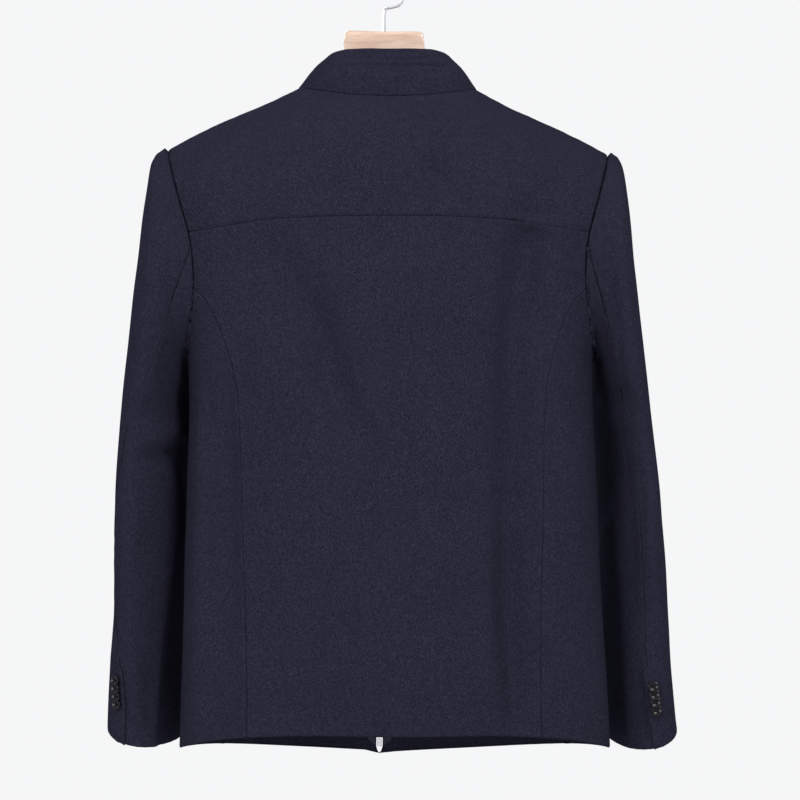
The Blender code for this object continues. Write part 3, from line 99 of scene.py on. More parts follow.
# Soft folds: the side they are on, how far they stand out (+) or in (-), their width, and their line
FOLDS = [
    # group, side, depth, width, line of (x, z)
    ("body", "back", -0.0074, 0.017, ((0.128, -0.296), (0.066, -0.403), (0.053, -0.459), (0.006, -0.548))),
    ("body", "back", 0.0027, 0.016, ((0.09, -0.285), (0.036, -0.39), (0.02, -0.45), (-0.02, -0.52))),
    ("body", "back", -0.011, 0.017, ((-0.16, -0.225), (-0.148, -0.3), (-0.136, -0.4), (-0.135, -0.6))),
    ("body", "back", -0.0125, 0.014, ((-0.134, -0.56), (-0.133, -0.66), (-0.136, -0.74), (-0.142, -0.85))),
    ("body", "back", 0.0033, 0.014, ((-0.106, -0.48), (-0.105, -0.6), (-0.108, -0.83))),
    ("body", "back", -0.0082, 0.018, ((-0.19, -0.215), (-0.174, -0.26), (-0.158, -0.32), (-0.15, -0.4))),
    ("body", "back", -0.0046, 0.01, ((-0.046, -0.214), (-0.06, -0.232), (-0.074, -0.246))),
    ("body", "back", -0.0045, 0.016, ((0.158, -0.4), (0.163, -0.56), (0.166, -0.7), (0.168, -0.86))),
    ("body", "back", 0.0036, 0.009, ((0.196, -0.44), (0.197, -0.6), (0.199, -0.84))),
    ("body", "back", 0.0024, 0.022, ((0.000, -0.62), (0.004, -0.74), (0.01, -0.86))),
    ("body", "back", -0.0024, 0.02, ((0.05, -0.64), (0.054, -0.74), (0.058, -0.86))),
    ("body", "back", -0.0009, 0.0035, (
        (0.196, -0.808), (0.158, -0.8), (0.08, -0.7985), (-0.12, -0.7985), (-0.19, -0.801),
    )),
    ("body", "back", -0.0014, 0.004, ((0.152, -0.812), (0.134, -0.802), (0.118, -0.799))),
    ("body", "back", -0.0012, 0.005, ((0.186, -0.806), (0.17, -0.814), (0.158, -0.822))),
    ("body", "front", -0.0034, 0.018, ((0.15, -0.26), (0.11, -0.36), (0.086, -0.47), (0.08, -0.56))),
    ("body", "front", -0.0032, 0.018, ((-0.165, -0.255), (-0.13, -0.35), (-0.112, -0.48), (-0.11, -0.6))),
    ("body", "front", 0.0024, 0.016, ((0.128, -0.42), (0.132, -0.6), (0.136, -0.84))),
    ("body", "front", 0.002, 0.017, ((-0.146, -0.44), (-0.15, -0.62), (-0.152, -0.84))),
    ("body", "front", -0.0026, 0.014, ((0.052, -0.56), (0.056, -0.7), (0.06, -0.85))),
    ("body", "front", -0.0024, 0.015, ((-0.07, -0.6), (-0.072, -0.72), (-0.078, -0.85))),
    ("body", "front", -0.0009, 0.0035, ((0.19, -0.812), (0.08, -0.826), (0.012, -0.832))),
    ("body", "front", -0.0009, 0.0035, ((-0.19, -0.812), (-0.08, -0.826), (-0.014, -0.832))),
    ("collar", "back", -0.0028, 0.0028, (
        (0.042, -0.0985), (0.016, -0.0992), (-0.02, -0.098), (-0.05, -0.0988),
    )),
    ("collar", "back", -0.0034, 0.003, (
        (0.046, -0.1048), (0.01, -0.1036), (-0.03, -0.1046), (-0.06, -0.1034),
    )),
    ("collar", "back", -0.0034, 0.003, (
        (0.04, -0.113), (0.004, -0.112), (-0.034, -0.1128), (-0.072, -0.1116),
    )),
    ("collar", "back", -0.0028, 0.0028, ((0.026, -0.1182), (0.002, -0.1172), (-0.022, -0.118))),
    ("collar", "back", -0.0026, 0.0026, ((-0.034, -0.1176), (-0.048, -0.1186), (-0.066, -0.1174))),
    ("collar", "front", -0.001, 0.0026, ((0.056, -0.15), (0.036, -0.176), (0.022, -0.19))),
    ("collar", "front", -0.001, 0.0026, ((-0.064, -0.152), (-0.044, -0.178), (-0.028, -0.192))),
    ("sleeve_left", "back", -0.005, 0.009, (
        (0.216, -0.515), (0.236, -0.53), (0.256, -0.535), (0.272, -0.53),
    )),
    ("sleeve_left", "back", 0.0034, 0.011, (
        (0.214, -0.493), (0.234, -0.508), (0.258, -0.514), (0.276, -0.508),
    )),
    ("sleeve_left", "back", 0.0032, 0.012, (
        (0.228, -0.55), (0.222, -0.59), (0.228, -0.645), (0.238, -0.72),
    )),
    ("sleeve_left", "back", -0.0028, 0.012, ((0.258, -0.548), (0.254, -0.61), (0.262, -0.68))),
    ("sleeve_left", "back", -0.0024, 0.01, ((0.282, -0.47), (0.262, -0.485), (0.24, -0.482))),
    ("sleeve_left", "back", -0.0026, 0.011, ((0.222, -0.34), (0.232, -0.4), (0.228, -0.46))),
    ("sleeve_left", "back", -0.0022, 0.01, ((0.25, -0.74), (0.256, -0.79), (0.254, -0.85))),
    ("sleeve_left", "front", -0.0038, 0.01, ((0.214, -0.496), (0.24, -0.512), (0.27, -0.52))),
    ("sleeve_left", "front", 0.003, 0.012, ((0.216, -0.47), (0.244, -0.488), (0.272, -0.496))),
    ("sleeve_left", "front", -0.003, 0.012, ((0.236, -0.56), (0.24, -0.64), (0.25, -0.72))),
    ("sleeve_right", "back", 0.0036, 0.01, (
        (-0.29, -0.52), (-0.289, -0.57), (-0.284, -0.64), (-0.283, -0.7),
    )),
    ("sleeve_right", "back", -0.004, 0.012, ((-0.244, -0.48), (-0.256, -0.545), (-0.246, -0.606))),
    ("sleeve_right", "back", -0.0028, 0.012, ((-0.27, -0.5), (-0.272, -0.59), (-0.268, -0.68))),
    ("sleeve_right", "back", -0.003, 0.01, ((-0.238, -0.456), (-0.256, -0.47), (-0.274, -0.47))),
    ("sleeve_right", "back", -0.0024, 0.011, ((-0.238, -0.33), (-0.25, -0.39), (-0.248, -0.44))),
    ("sleeve_right", "back", -0.0022, 0.01, ((-0.276, -0.75), (-0.28, -0.8), (-0.278, -0.852))),
    ("sleeve_right", "front", -0.0038, 0.01, ((-0.23, -0.5), (-0.256, -0.516), (-0.286, -0.52))),
    ("sleeve_right", "front", 0.003, 0.012, ((-0.232, -0.474), (-0.258, -0.49), (-0.286, -0.496))),
    ("sleeve_right", "front", -0.003, 0.012, ((-0.252, -0.56), (-0.26, -0.64), (-0.27, -0.72))),
]

FOLD_FACING = (0.0, 0.4)  # a fold is on cloth that faces its side
FOLD_ENDS = 0.6  # a lower power keeps a fold's strength nearer to its ends

# Sharp tucks: towards the body from the line, the cloth lies this much further forward
TUCKS = [
    # group, depth, edge width, line of (x, z)
    ("sleeve_left", 0.013, 0.0035, (
        (0.212, -0.505), (0.214, -0.5136), (0.2352, -0.5265), (0.2287, -0.546), (0.22, -0.5784),
        (0.2196, -0.6053), (0.2287, -0.6431), (0.2362, -0.7078), (0.2416, -0.7726), (0.247, -0.8427),
        (0.248, -0.88),
    )),
    ("sleeve_right", 0.013, 0.005, (
        (-0.23, -0.455), (-0.2375, -0.4704), (-0.2494, -0.5028), (-0.2548, -0.5459), (-0.2505, -0.5686),
        (-0.2419, -0.6064), (-0.238, -0.6269), (-0.237, -0.65),
    )),
    ("sleeve_right", 0.01, 0.016, (
        (-0.232, -0.59), (-0.244, -0.64), (-0.252, -0.6862), (-0.256, -0.7726), (-0.26, -0.8373),
        (-0.26, -0.88),
    )),
]
TUCK_START, TUCK_END = 0.012, 0.020  # a tuck comes in and goes out over these heights
TUCK_FACING = (-0.45, 0.25)  # it is on cloth that faces back

# The sleeve heads fill out upwards and outwards over these heights, outside these distances from X 0
HEAD_RISE, HEAD_RISE_HEIGHTS = 0.0050, (-0.262, -0.215)
HEAD_OUT, HEAD_OUT_HEIGHTS = 0.0034, (-0.330, -0.250)
HEAD_OUTSIDE = (0.205, 0.235)

SIDE_MIDDLE = (0.155, 0.004)  # a side panel's UV map runs round this X and Y

YOKE_STITCH_UP = 0.0027  # from the yoke's seam to its row of stitches
YOKE_SEAM_NEAR = 0.0022  # the yoke's edge is this near to the back panel along that seam
STITCH = (0.00120, 0.00026, 0.00022)  # half a stitch: along, across, thick
STITCH_PITCH = 0.0033
STITCH_UP = 0.00006  # from the cloth to a stitch's middle
STITCH_OFF = 0.002  # a stitch that would be this far off the cloth is left out
STITCH_EVERY = 4  # the row follows every fourth point of the yoke's edge

TOOTH_PITCH = 0.0011  # teeth come from the left and the right by turns
TOOTH = (0.0036, 0.0010, 0.0020)  # across, along, thick
TOOTH_ASIDE = 0.0011  # from the chain's middle to a tooth's
TOOTH_HEAD = (0.9, 0.9, 0.75)  # a tooth narrows to this at its head

HOOK_R = 0.0018  # radius of the wire
HOOK_ARCH = 0.020  # radius inside the arch
HOOK_ARCH_ENDS = (180, -32)  # degrees, from the shank's side over the top to the tip
HOOK_TIP = 0.0021  # radius of the ball at the wire's end
HOOK_FOOT = [
    # x, z, from inside the block up to the arch
    (0.0000, -0.0680), (0.0000, -0.0475), (-0.0006, -0.0451), (-0.0018, -0.0435), (-0.0036, -0.0427),
    (-0.0100, -0.0416), (-0.0142, -0.0406), (-0.0170, -0.0392), (-0.0190, -0.0368), (-0.0204, -0.0335),
    (-0.0213, -0.0295), (-0.0217, -0.0250),
]
BUTTON_PROFILE = [
    # radius, height
    (0.0, -0.0010), (0.0046, -0.0010), (0.0055, -0.0005), (0.0058, 0.0002), (0.0056, 0.0009),
    (0.0050, 0.0011), (0.0044, 0.0009), (0.0038, 0.0003), (0.0, 0.0002),
]
HOLE_ROWS = (-0.0012, 0.0012)  # the four holes lie at these X and Y
HOLE_R = 0.0007
DRILL = 0.006  # length of the drill for a hole
HOLE_THREAD = (0.0015, 0.00042, 0.00030)  # half the thread over two holes: along, across, thick
HOLE_THREAD_UP = 0.00035  # from a button's middle to that thread
NECK_WIDE, NECK_NARROW, NECK_LONG = 0.0013, 0.0010, 0.0014  # the thread behind a button
NECK_DOWN = 0.0016  # from a button's middle to the middle of that thread

# Colours of the wool's fibres
WOOL_DARK = (0.0050, 0.0050, 0.0096)
WOOL_MAIN = (0.0122, 0.0120, 0.0215)
WOOL_LIGHT = (0.0350, 0.0352, 0.0540)

CAMERA_PLACE = (-0.0174, 2.69, -0.4704)
CAMERA_LENS, CAMERA_SENSOR = 110.9, 36.0
LAMPS_AIM = (0, 0, -0.45)
LAMPS = [
    # name, place, size, power
    ("key", (-1.2, 2.1, 1.3), 1.0, 76),
    ("fill", (1.7, 2.1, 0.3), 1.4, 46),
    ("top", (0.0, 0.4, 1.6), 1.2, 5),
    ("front", (1.1, -2.2, 0.9), 1.4, 60),
]
SKY, SKY_STRENGTH = (0.975, 0.98, 0.99, 1), 0.94
FLOOR_HEIGHT, FLOOR_R = -1.75, 3.8


def middle_at(group, z):
    """Points of a group's middle line at these heights."""
    top, low = (np.array(p) for p in MIDDLES[group])
    share = (np.asarray(z) - top[2]) / (low[2] - top[2])
    return top + (low - top) * share[..., None]


def islands(bm):
    """The faces of a mesh, in the groups that hang together."""
    left, found = set(bm.faces), []
    while left:
        group = [left.pop()]
        for face in group:
            for edge in face.edges:
                for other in edge.link_faces:
                    if other in left:
                        left.discard(other)
                        group.append(other)
        found.append(group)
    return found


def merged(node):
    """A bmesh of a node's solid, with its loose triangles joined up."""
    bm = bmesh.new()
    bm.from_mesh(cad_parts[node].data)
    bmesh.ops.remove_doubles(bm, verts=bm.verts[:], dist=WELD)
    return bm


def cut_apart(node, least):
    """A node's solid without its rim. An edge of the rim runs straight through the cloth at both ends."""
    bm = merged(node)
    bm.normal_update()

    def runs_through(edge):
        way = (edge.verts[1].co - edge.verts[0].co).normalized()
        return all(any(abs(f.normal.dot(way)) > least for f in v.link_faces) for v in edge.verts)

    rim = [e for e in bm.edges if RIM_SHORT < e.calc_length() < RIM_LONG and runs_through(e)]
    bmesh.ops.delete(bm, geom=rim, context="EDGES")
    return bm


def outer_face(node, group):
    """A panel's outer face, taken from its solid, as a mesh of mostly four-sided faces."""
    for least in RIM_STRAIGHT:
        bm = cut_apart(node, least)
        areas = [sum(f.calc_area() for f in faces) for faces in islands(bm)]
        if max(areas) < FREED_SHARE * sum(areas):
            break
        bm.free()
    else:
        raise SystemExit(f"{node}: the outer face doesn't come apart from the inner one")

    def outwards(faces):
        total = 0.0
        for face in faces:
            centre = face.calc_center_median()
            away = centre - Vector(middle_at(group, centre.z))
            away.z = 0
            total += face.calc_area() * face.normal.dot(away.normalized())
        return total

    outer = max(islands(bm), key=outwards)
    kept = set(outer)
    bmesh.ops.delete(bm, geom=[f for f in bm.faces if f not in kept], context="FACES")
    bmesh.ops.join_triangles(
        bm,
        faces=bm.faces[:],
        angle_face_threshold=math.radians(40),
        angle_shape_threshold=math.radians(60),
        topology_influence=1.0,
    )
    mesh = bpy.data.meshes.new(node)
    bm.to_mesh(mesh)
    bm.free()
    return mesh


def shown(name, mesh, finish):
    """An object in the scene, in its finish."""
    piece = bpy.data.objects.new(name, mesh)
    piece.data.materials.clear()
    if finish:
        piece.data.materials.append(finish)
    bpy.context.scene.collection.objects.link(piece)
    return piece


def subdivided(mesh, levels):
    """The mesh after rounds of smooth subdivision."""
    holder = bpy.data.objects.new("holder", mesh)
    bpy.context.scene.collection.objects.link(holder)
    rounds = holder.modifiers.new("Fine", "SUBSURF")
    rounds.levels = rounds.render_levels = levels
    rounds.boundary_smooth = "PRESERVE_CORNERS"
    seen = holder.evaluated_get(bpy.context.evaluated_depsgraph_get())
    fine = bpy.data.meshes.new_from_object(seen)
    bpy.data.objects.remove(holder)
    return fine


def add_edge_loops(mesh, widths):
    """Rows of narrow faces inside the mesh's open edge, so that the edge can roll."""
    bm = bmesh.new()
    bm.from_mesh(mesh)
    for width in widths:
        bmesh.ops.inset_region(
            bm, faces=bm.faces[:], thickness=width, use_boundary=True, use_even_offset=False
        )
    bm.to_mesh(mesh)
    bm.free()


def read_out(items, name, width, kind):
    """A mesh's values, a row to an item."""
    flat = np.zeros(len(items) * width, kind)
    items.foreach_get(name, flat)
    return flat.reshape(-1, width)


def coordinates(mesh):
    return read_out(mesh.vertices, "co", 3, np.float32).astype(float)


def vertex_normals(mesh):
    return read_out(mesh.vertex_normals, "vector", 3, np.float32).astype(float)


def edge_pairs(mesh):
    return read_out(mesh.edges, "vertices", 2, np.int32)


def move_to(mesh, points):
    """Puts a mesh's vertices at these places."""
    mesh.vertices.foreach_set("co", points.astype(np.float32).ravel())
    mesh.update()


def open_points(mesh):
    """Numbers of the vertices on the mesh's open edge."""
    bm = bmesh.new()
    bm.from_mesh(mesh)
    found = np.array([v.index for v in bm.verts if v.is_boundary])
    bm.free()
    return found


def even_out(mesh, rounds, fixed):
    """Irons out small bumps, with the fixed points kept."""
    points, pairs = coordinates(mesh), edge_pairs(mesh)
    count = np.bincount(pairs.ravel(), minlength=len(points))[:, None]
    free = np.ones(len(points), bool)
    free[fixed] = False
    for _ in range(rounds):
        around = np.zeros_like(points)
        for axis in range(3):
            for a, b in ((0, 1), (1, 0)):
                around[:, axis] += np.bincount(
                    pairs[:, a], weights=points[pairs[:, b], axis], minlength=len(points)
                )
        points[free] += 0.5 * (around / count - points)[free]
    move_to(mesh, points)


def points_tree(points):
    """Points, ready to be searched for the nearest one."""
    tree = KDTree(len(points))
    for number, place in enumerate(points):
        tree.insert(place, number)
    tree.balance()
    return tree


def distances(points, to):
    """Distance of each point to the nearest of the others, or 1 m when there are none."""
    if not len(to):
        return np.full(len(points), 1.0)
    tree = points_tree(to)
    return np.array([tree.find(p)[2] for p in points])


def noise_at(points, size, seed):
    """Smooth noise, about -1 to 1, whose lumps are of this size along X, Y and Z."""
    scaled = points / np.array(size) + seed * NOISE_STEP
    return np.array([noise.noise(p) for p in scaled.tolist()])


def at_armholes(points):
    """Which of the points are at an armhole's height and distance from the middle."""
    return (points[:, 2] > ARMHOLE_FOOT) & (np.abs(points[:, 0]) > ARMHOLE_IN)


def smooth_step(value, low, high):
    """0 up to the low value, 1 from the high one on, and smooth between them."""
    share = np.clip((value - low) / (high - low), 0, 1)
    return share * share * (3 - 2 * share)


def fold_depths(points, normals, group):
    """How far the folds of a group stand out at these points."""
    depth = np.zeros(len(points))
    flat = points[:, (0, 2)]
    for where, side, deep, wide, line in FOLDS:
        if where != group:
            continue
        facing = smooth_step(normals[:, 1] * (1 if side == "back" else -1), *FOLD_FACING)
        nearest, along, before = np.full(len(points), 9.0), np.zeros(len(points)), 0.0
        for start, end in zip(np.array(line), np.array(line[1:])):
            run = end - start
            share = np.clip(((flat - start) @ run) / (run @ run), 0, 1)
            across = np.linalg.norm(flat - start - share[:, None] * run, axis=1)
            closer = across < nearest
            nearest[closer] = across[closer]
            along[closer] = (before + share * np.linalg.norm(run))[closer]
            before += np.linalg.norm(run)
        fade = np.sin(np.pi * np.clip(along / before, 0, 1)) ** FOLD_ENDS
        depth += deep * facing * fade * np.exp(-((nearest / wide) ** 2))
    return depth


def on_table(table, value):
    """Heights from a table of knots, straight between them."""
    knots, heights = zip(*table)
    return np.interp(value, knots, heights)


def reach_out(mesh, points, rim, sewn, reach):
    """Carries the sewn edges on in their own plane, so that the panels meet."""
    pairs = edge_pairs(mesh)
    on_rim = np.zeros(len(points), bool)
    on_rim[rim] = True
    inner = np.zeros_like(points)
    count = np.zeros(len(points))
    for a, b in ((0, 1), (1, 0)):
        crossing = on_rim[pairs[:, a]] & ~on_rim[pairs[:, b]]
        np.add.at(inner, pairs[crossing, a], points[pairs[crossing, b]])
        np.add.at(count, pairs[crossing, a], 1)
    moving = rim[sewn & (count[rim] > 0)]
    way = points[moving] - inner[moving] / count[moving, None]
    length = np.maximum(np.linalg.norm(way, axis=1), WELD)
    points[moving] += reach[moving, None] * way / length[:, None]


def nearest_on(trees, place):
    """The nearest point of several surfaces, and its distance."""
    found = [tree.find_nearest(place) for tree in trees]
    spot, _, _, distance = min(found, key=lambda hit: hit[3])
    return np.array(spot), distance


def draw_together(points, rim, others):
    """Draws sewn edges half way to their neighbours. Gives back which of the edge's points are sewn."""
    hits = [nearest_on(others, Vector(p)) for p in points[rim]]
    gaps = np.array([distance for _, distance in hits])
    shifts = (np.array([spot for spot, _ in hits]) - points[rim]) / 2
    near_enough = np.where(at_armholes(points[rim]), ARMHOLE_NEAR, SEAM_NEAR)
    shifts *= (1 - smooth_step(gaps / near_enough, *SEAM_FADE))[:, None]
    tree = points_tree(points[rim])
    for number, place in enumerate(points.tolist()):
        _, near, distance = tree.find(place)
        if distance < 3 * SEAM_PULL:
            points[number] += shifts[near] * math.exp(-((distance / SEAM_PULL) ** 2))
    return gaps < near_enough


def shape_sleeve(points, normals, group):
    """Fills out a sleeve's head and lays its tucks."""
    sign = 1 if group == "sleeve_left" else -1
    high = smooth_step(points[:, 2], *HEAD_RISE_HEIGHTS)
    outside = smooth_step(points[:, 0] * sign, *HEAD_OUTSIDE)
    points[:, 2] += HEAD_RISE * high * outside
    points[:, 0] += sign * HEAD_OUT * smooth_step(points[:, 2], *HEAD_OUT_HEIGHTS) * outside
    for where, deep, wide, line in TUCKS:
        if where != group:
            continue
        heights, places = [z for _, z in line], [x for x, _ in line]
        edge = np.interp(-points[:, 2], [-z for z in heights], places)
        inside = smooth_step((edge - points[:, 0]) * sign, -wide / 2, wide / 2)
        reach = smooth_step(-points[:, 2], -heights[0], -heights[0] + TUCK_START)
        reach *= 1 - smooth_step(-points[:, 2], -heights[-1] - TUCK_END, -heights[-1])
        points[:, 1] -= deep * inside * reach * smooth_step(normals[:, 1], *TUCK_FACING)


def close_up(points, normals, others):
    """How far a side swells towards what hangs close by it."""
    swell = np.zeros(len(points))
    sideways = np.abs(normals[:, 0]) > CLOSE_SIDEWAYS
    for number in np.flatnonzero(sideways & (points[:, 2] < CLOSE_TOP)):
        spot, distance = nearest_on(others, Vector(points[number]))
        if 2 * CLOSE_GAP < distance < CLOSE_BY:
            facing = float((spot - points[number]) @ normals[number]) / distance
            swell[number] = max(0.0, distance / 2 - CLOSE_GAP) * smooth_step(facing, *CLOSE_FACING)
    return swell * (1 - smooth_step(swell, *CLOSE_LARGE) * 0.5)


def work_cloth(mesh, node, group, others, apart):
    """Closes and rolls the panel's edges, and works folds, puckers and drape into it."""
    mesh.update()
    points, normals = coordinates(mesh), vertex_normals(mesh)
    rim = open_points(mesh)
    if group.startswith("sleeve") or node.startswith("side"):
        swell = close_up(points, normals, apart)
        points += normals * swell[:, None]
    if group.startswith("sleeve"):
        before = points.copy()
        shape_sleeve(points, normals, group)
        at_armhole = np.array([nearest_on(apart, Vector(p))[1] < ARMHOLE_NEAR for p in before[rim]])
        points[rim[at_armhole]] = before[rim[at_armhole]]
    sewn = draw_together(points, rim, others)
    front_arm = at_armholes(points) * smooth_step(-points[:, 1], 0.0, FRONT_ARM_DEEP)
    reach = np.full(len(points), COLLAR_REACH if node == "collar" else SEAM_REACH)
    reach_out(mesh, points, rim, sewn, reach + (FRONT_ARM_REACH - SEAM_REACH) * front_arm)
    to_seam = distances(points, points[rim[sewn]])
    to_free = distances(points, points[rim[~sewn]])
    seam_roll = STITCHED_ROLL if node == "back_yoke" else SEAM_ROLL
    roll = np.minimum(on_table(seam_roll, to_seam), on_table(FREE_ROLL, to_free))
    roll *= 1 - FRONT_ARM_ROLL * front_arm
    pucker = PUCKER * noise_at(points, PUCKER_LUMPS, 1) * np.exp(-((to_seam / PUCKER_REACH) ** 2))
    drape = DRAPE * noise_at(points, DRAPE_LUMPS, 2) + RIPPLE * noise_at(points, RIPPLE_LUMPS, 3)
    folds = fold_depths(points, normals, group)
    inside = smooth_step(np.minimum(to_seam, to_free), 0.0, QUIET_EDGE)
    drape *= DRAPE_AT_EDGE + (1 - DRAPE_AT_EDGE) * inside
    folds *= FOLDS_AT_EDGE + (1 - FOLDS_AT_EDGE) * inside
    depth = roll + pucker + drape + folds
    move_to(mesh, points + normals * depth[:, None])


def lay_out(mesh, node, group):
    """A UV map in metres: round the cloth, and down it."""
    points = coordinates(mesh)
    if group == "body" and not node.startswith("side"):
        across = points[:, 0] * (-1 if points[:, 1].mean() > 0 else 1)
    else:
        side = math.copysign(SIDE_MIDDLE[0], points[:, 0].mean())
        middle = np.array((side, SIDE_MIDDLE[1], 0.0)) if group == "body" else middle_at(group, points[:, 2])
        offset = points - middle
        mean = offset.mean(axis=0)
        angle = np.arctan2(offset[:, 1], offset[:, 0]) - math.atan2(mean[1], mean[0])
        angle = (angle + math.pi) % (2 * math.pi) - math.pi
        across = angle * np.hypot(offset[:, 0], offset[:, 1]).mean()
    layer = mesh.uv_layers.new(name="cloth")
    corners = np.zeros(len(mesh.loops), np.int32)
    mesh.loops.foreach_get("vertex_index", corners)
    flat = np.stack([across, points[:, 2]], -1)[corners]
    layer.data.foreach_set("uv", flat.astype(np.float32).ravel())


def thicken(piece, thickness):
    """Makes a surface a shell, inwards from it."""
    wall = piece.modifiers.new("Cloth", "SOLIDIFY")
    wall.thickness = thickness
    wall.offset = -1.0
    wall.use_rim = True


def tree_of(mesh):
    """A mesh's surface, ready to be searched for its nearest point."""
    bm = bmesh.new()
    bm.from_mesh(mesh)
    tree = BVHTree.FromBMesh(bm)
    bm.free()
    return tree


class Finish:
    """A node-based material, built a node at a time."""

    def __init__(self, name, roughness, metallic=0.0):
        self.made = bpy.data.materials.new(name)
        self.made.use_nodes = True
        self.tree = self.made.node_tree
        self.shader = self.tree.nodes["Principled BSDF"]
        self.shader.inputs["Roughness"].default_value = roughness
        self.shader.inputs["Metallic"].default_value = metallic

    def node(self, kind, **values):
        made = self.tree.nodes.new(kind)
        for name, value in values.items():
            if hasattr(made, name):
                setattr(made, name, value)
            else:
                made.inputs[name.replace("_", " ")].default_value = value
        return made

    def link(self, source, target):
        self.tree.links.new(source, target)

    def coordinates(self, kind, scale, turn=(0, 0, 0)):
        source = self.node("ShaderNodeTexCoord")
        mapping = self.node("ShaderNodeMapping")
        mapping.inputs["Scale"].default_value = scale
        mapping.inputs["Rotation"].default_value = turn
        self.link(source.outputs[kind], mapping.inputs["Vector"])
        return mapping.outputs["Vector"]

    def noise(self, vector, scale, detail=2.0, rough=0.5):
        made = self.node("ShaderNodeTexNoise", Scale=scale, Detail=detail, Roughness=rough)
        self.link(vector, made.inputs["Vector"])
        return made.outputs["Fac"]

    def wave(self, vector, scale, distortion=0.0):
        made = self.node("ShaderNodeTexWave", Scale=scale, Distortion=distortion)
        self.link(vector, made.inputs["Vector"])
        return made.outputs["Fac"]

    def ramp(self, factor, stops):
        made = self.node("ShaderNodeValToRGB")
        elements = made.color_ramp.elements
        while len(elements) < len(stops):
            elements.new(0.5)
        for element, (place, colour) in zip(elements, stops):
            element.position = place
            element.color = (*colour, 1.0)
        self.link(factor, made.inputs["Fac"])
        return made.outputs["Color"]

    def mix(self, factor, first, second, kind="MIX"):
        made = self.node("ShaderNodeMix", data_type="RGBA", blend_type=kind)
        sockets = {s.identifier: s for s in made.inputs}
        for name, value in (("Factor_Float", factor), ("A_Color", first), ("B_Color", second)):
            if isinstance(value, bpy.types.NodeSocket):
                self.link(value, sockets[name])
            elif isinstance(value, tuple):
                sockets[name].default_value = (*value, 1.0)
            else:
                sockets[name].default_value = value
        return next(s for s in made.outputs if s.identifier == "Result_Color")

    def sum(self, first, second, share):
        made = self.node("ShaderNodeMath", operation="MULTIPLY_ADD")
        self.link(first, made.inputs[0])
        made.inputs[1].default_value = share
        self.link(second, made.inputs[2])
        return made.outputs[0]

    def bump(self, height, distance, strength=1.0):
        made = self.node("ShaderNodeBump", Strength=strength, Distance=distance)
        self.link(height, made.inputs["Height"])
        self.link(made.outputs["Normal"], self.shader.inputs["Normal"])

    def colour(self, source):
        if isinstance(source, tuple):
            self.shader.inputs["Base Color"].default_value = (*source, 1.0)
        else:
            self.link(source, self.shader.inputs["Base Color"])

    def rough(self, factor, low, high):
        made = self.node("ShaderNodeMapRange")
        made.inputs["To Min"].default_value = low
        made.inputs["To Max"].default_value = high
        self.link(factor, made.inputs["Value"])
        self.link(made.outputs["Result"], self.shader.inputs["Roughness"])

    def set(self, **values):
        for name, value in values.items():
            self.shader.inputs[name.replace("_", " ")].default_value = value


def wool_finish():
    """Navy melange wool: a fine twill with lighter and darker fibres."""
    wool = Finish("navy_wool", 0.9)
    fibres = wool.noise(wool.coordinates("Object", (1, 1, 0.35)), 1500, 3.0, 0.65)
    flecks = wool.noise(wool.coordinates("Object", (1, 1, 0.6)), 620, 1.0, 0.5)
    melange = wool.noise(wool.coordinates("Object", (1, 1, 0.5)), 210, 2.0, 0.6)
    base = wool.ramp(fibres, [(0.30, WOOL_DARK), (0.52, WOOL_MAIN), (0.80, WOOL_LIGHT)])
    fleck = wool.ramp(flecks, [(0.56, (0, 0, 0)), (0.76, (0.20, 0.20, 0.20))])
    shade = wool.ramp(melange, [(0.32, (0.91, 0.91, 0.92)), (0.68, (1, 1, 1))])
    patches = wool.noise(wool.coordinates("Object", (1, 1, 1)), 14, 2.0)
    clouds = wool.ramp(patches, [(0.3, (0.92, 0.92, 0.92)), (0.7, (1, 1, 1))])
    mixed = wool.mix(1.0, wool.mix(fleck, base, WOOL_LIGHT), shade, "MULTIPLY")
    wool.colour(wool.mix(1.0, mixed, clouds, "MULTIPLY"))
    twill = wool.wave(wool.coordinates("UV", (1, 1, 1), (0, 0, math.radians(58))), 360, 1.2)
    wool.bump(wool.sum(twill, fibres, 0.6), 0.00020, 0.8)
    wool.rough(flecks, 0.86, 0.98)
    wool.set(
        Sheen_Weight=0.006,
        Sheen_Roughness=0.5,
        Sheen_Tint=(0.45, 0.50, 0.85, 1.0),
        Specular_IOR_Level=0.0,
    )
    return wool.made


def tape_finish():
    """Dark woven tape."""
    tape = Finish("zip_tape_cloth", 0.8)
    cloth = tape.coordinates("Object", (1, 1, 1))
    weave = tape.wave(cloth, 300, 0.4)
    tape.colour(tape.ramp(weave, [(0.2, (0.006, 0.007, 0.012)), (0.8, (0.018, 0.020, 0.032))]))
    tape.bump(weave, 0.0002)
    tape.set(Sheen_Weight=0.1, Specular_IOR_Level=0.3)
    return tape.made


def thread_finish():
    """Dark twisted thread."""
    thread = Finish("navy_thread", 0.55)
    place = thread.coordinates("Object", (1, 1, 1))
    twist = thread.noise(place, 1800, 1.0)
    thread.colour(thread.ramp(twist, [(0.3, (0.002, 0.002, 0.004)), (0.7, (0.006, 0.006, 0.011))]))
    thread.set(Specular_IOR_Level=0.02)
    return thread.made


def horn_finish():
    """Dark polished horn, faintly streaked."""
    horn = Finish("dark_horn", 0.2)
    place = horn.coordinates("Object", (1, 1, 0.4))
    streaks = horn.noise(place, 420, 3.0, 0.6)
    shades = [(0.35, (0.002, 0.002, 0.003)), (0.65, (0.004, 0.004, 0.005)), (0.88, (0.008, 0.008, 0.010))]
    horn.colour(horn.ramp(streaks, shades))
    horn.rough(streaks, 0.07, 0.15)
    horn.set(Specular_IOR_Level=0.18)
    return horn.made


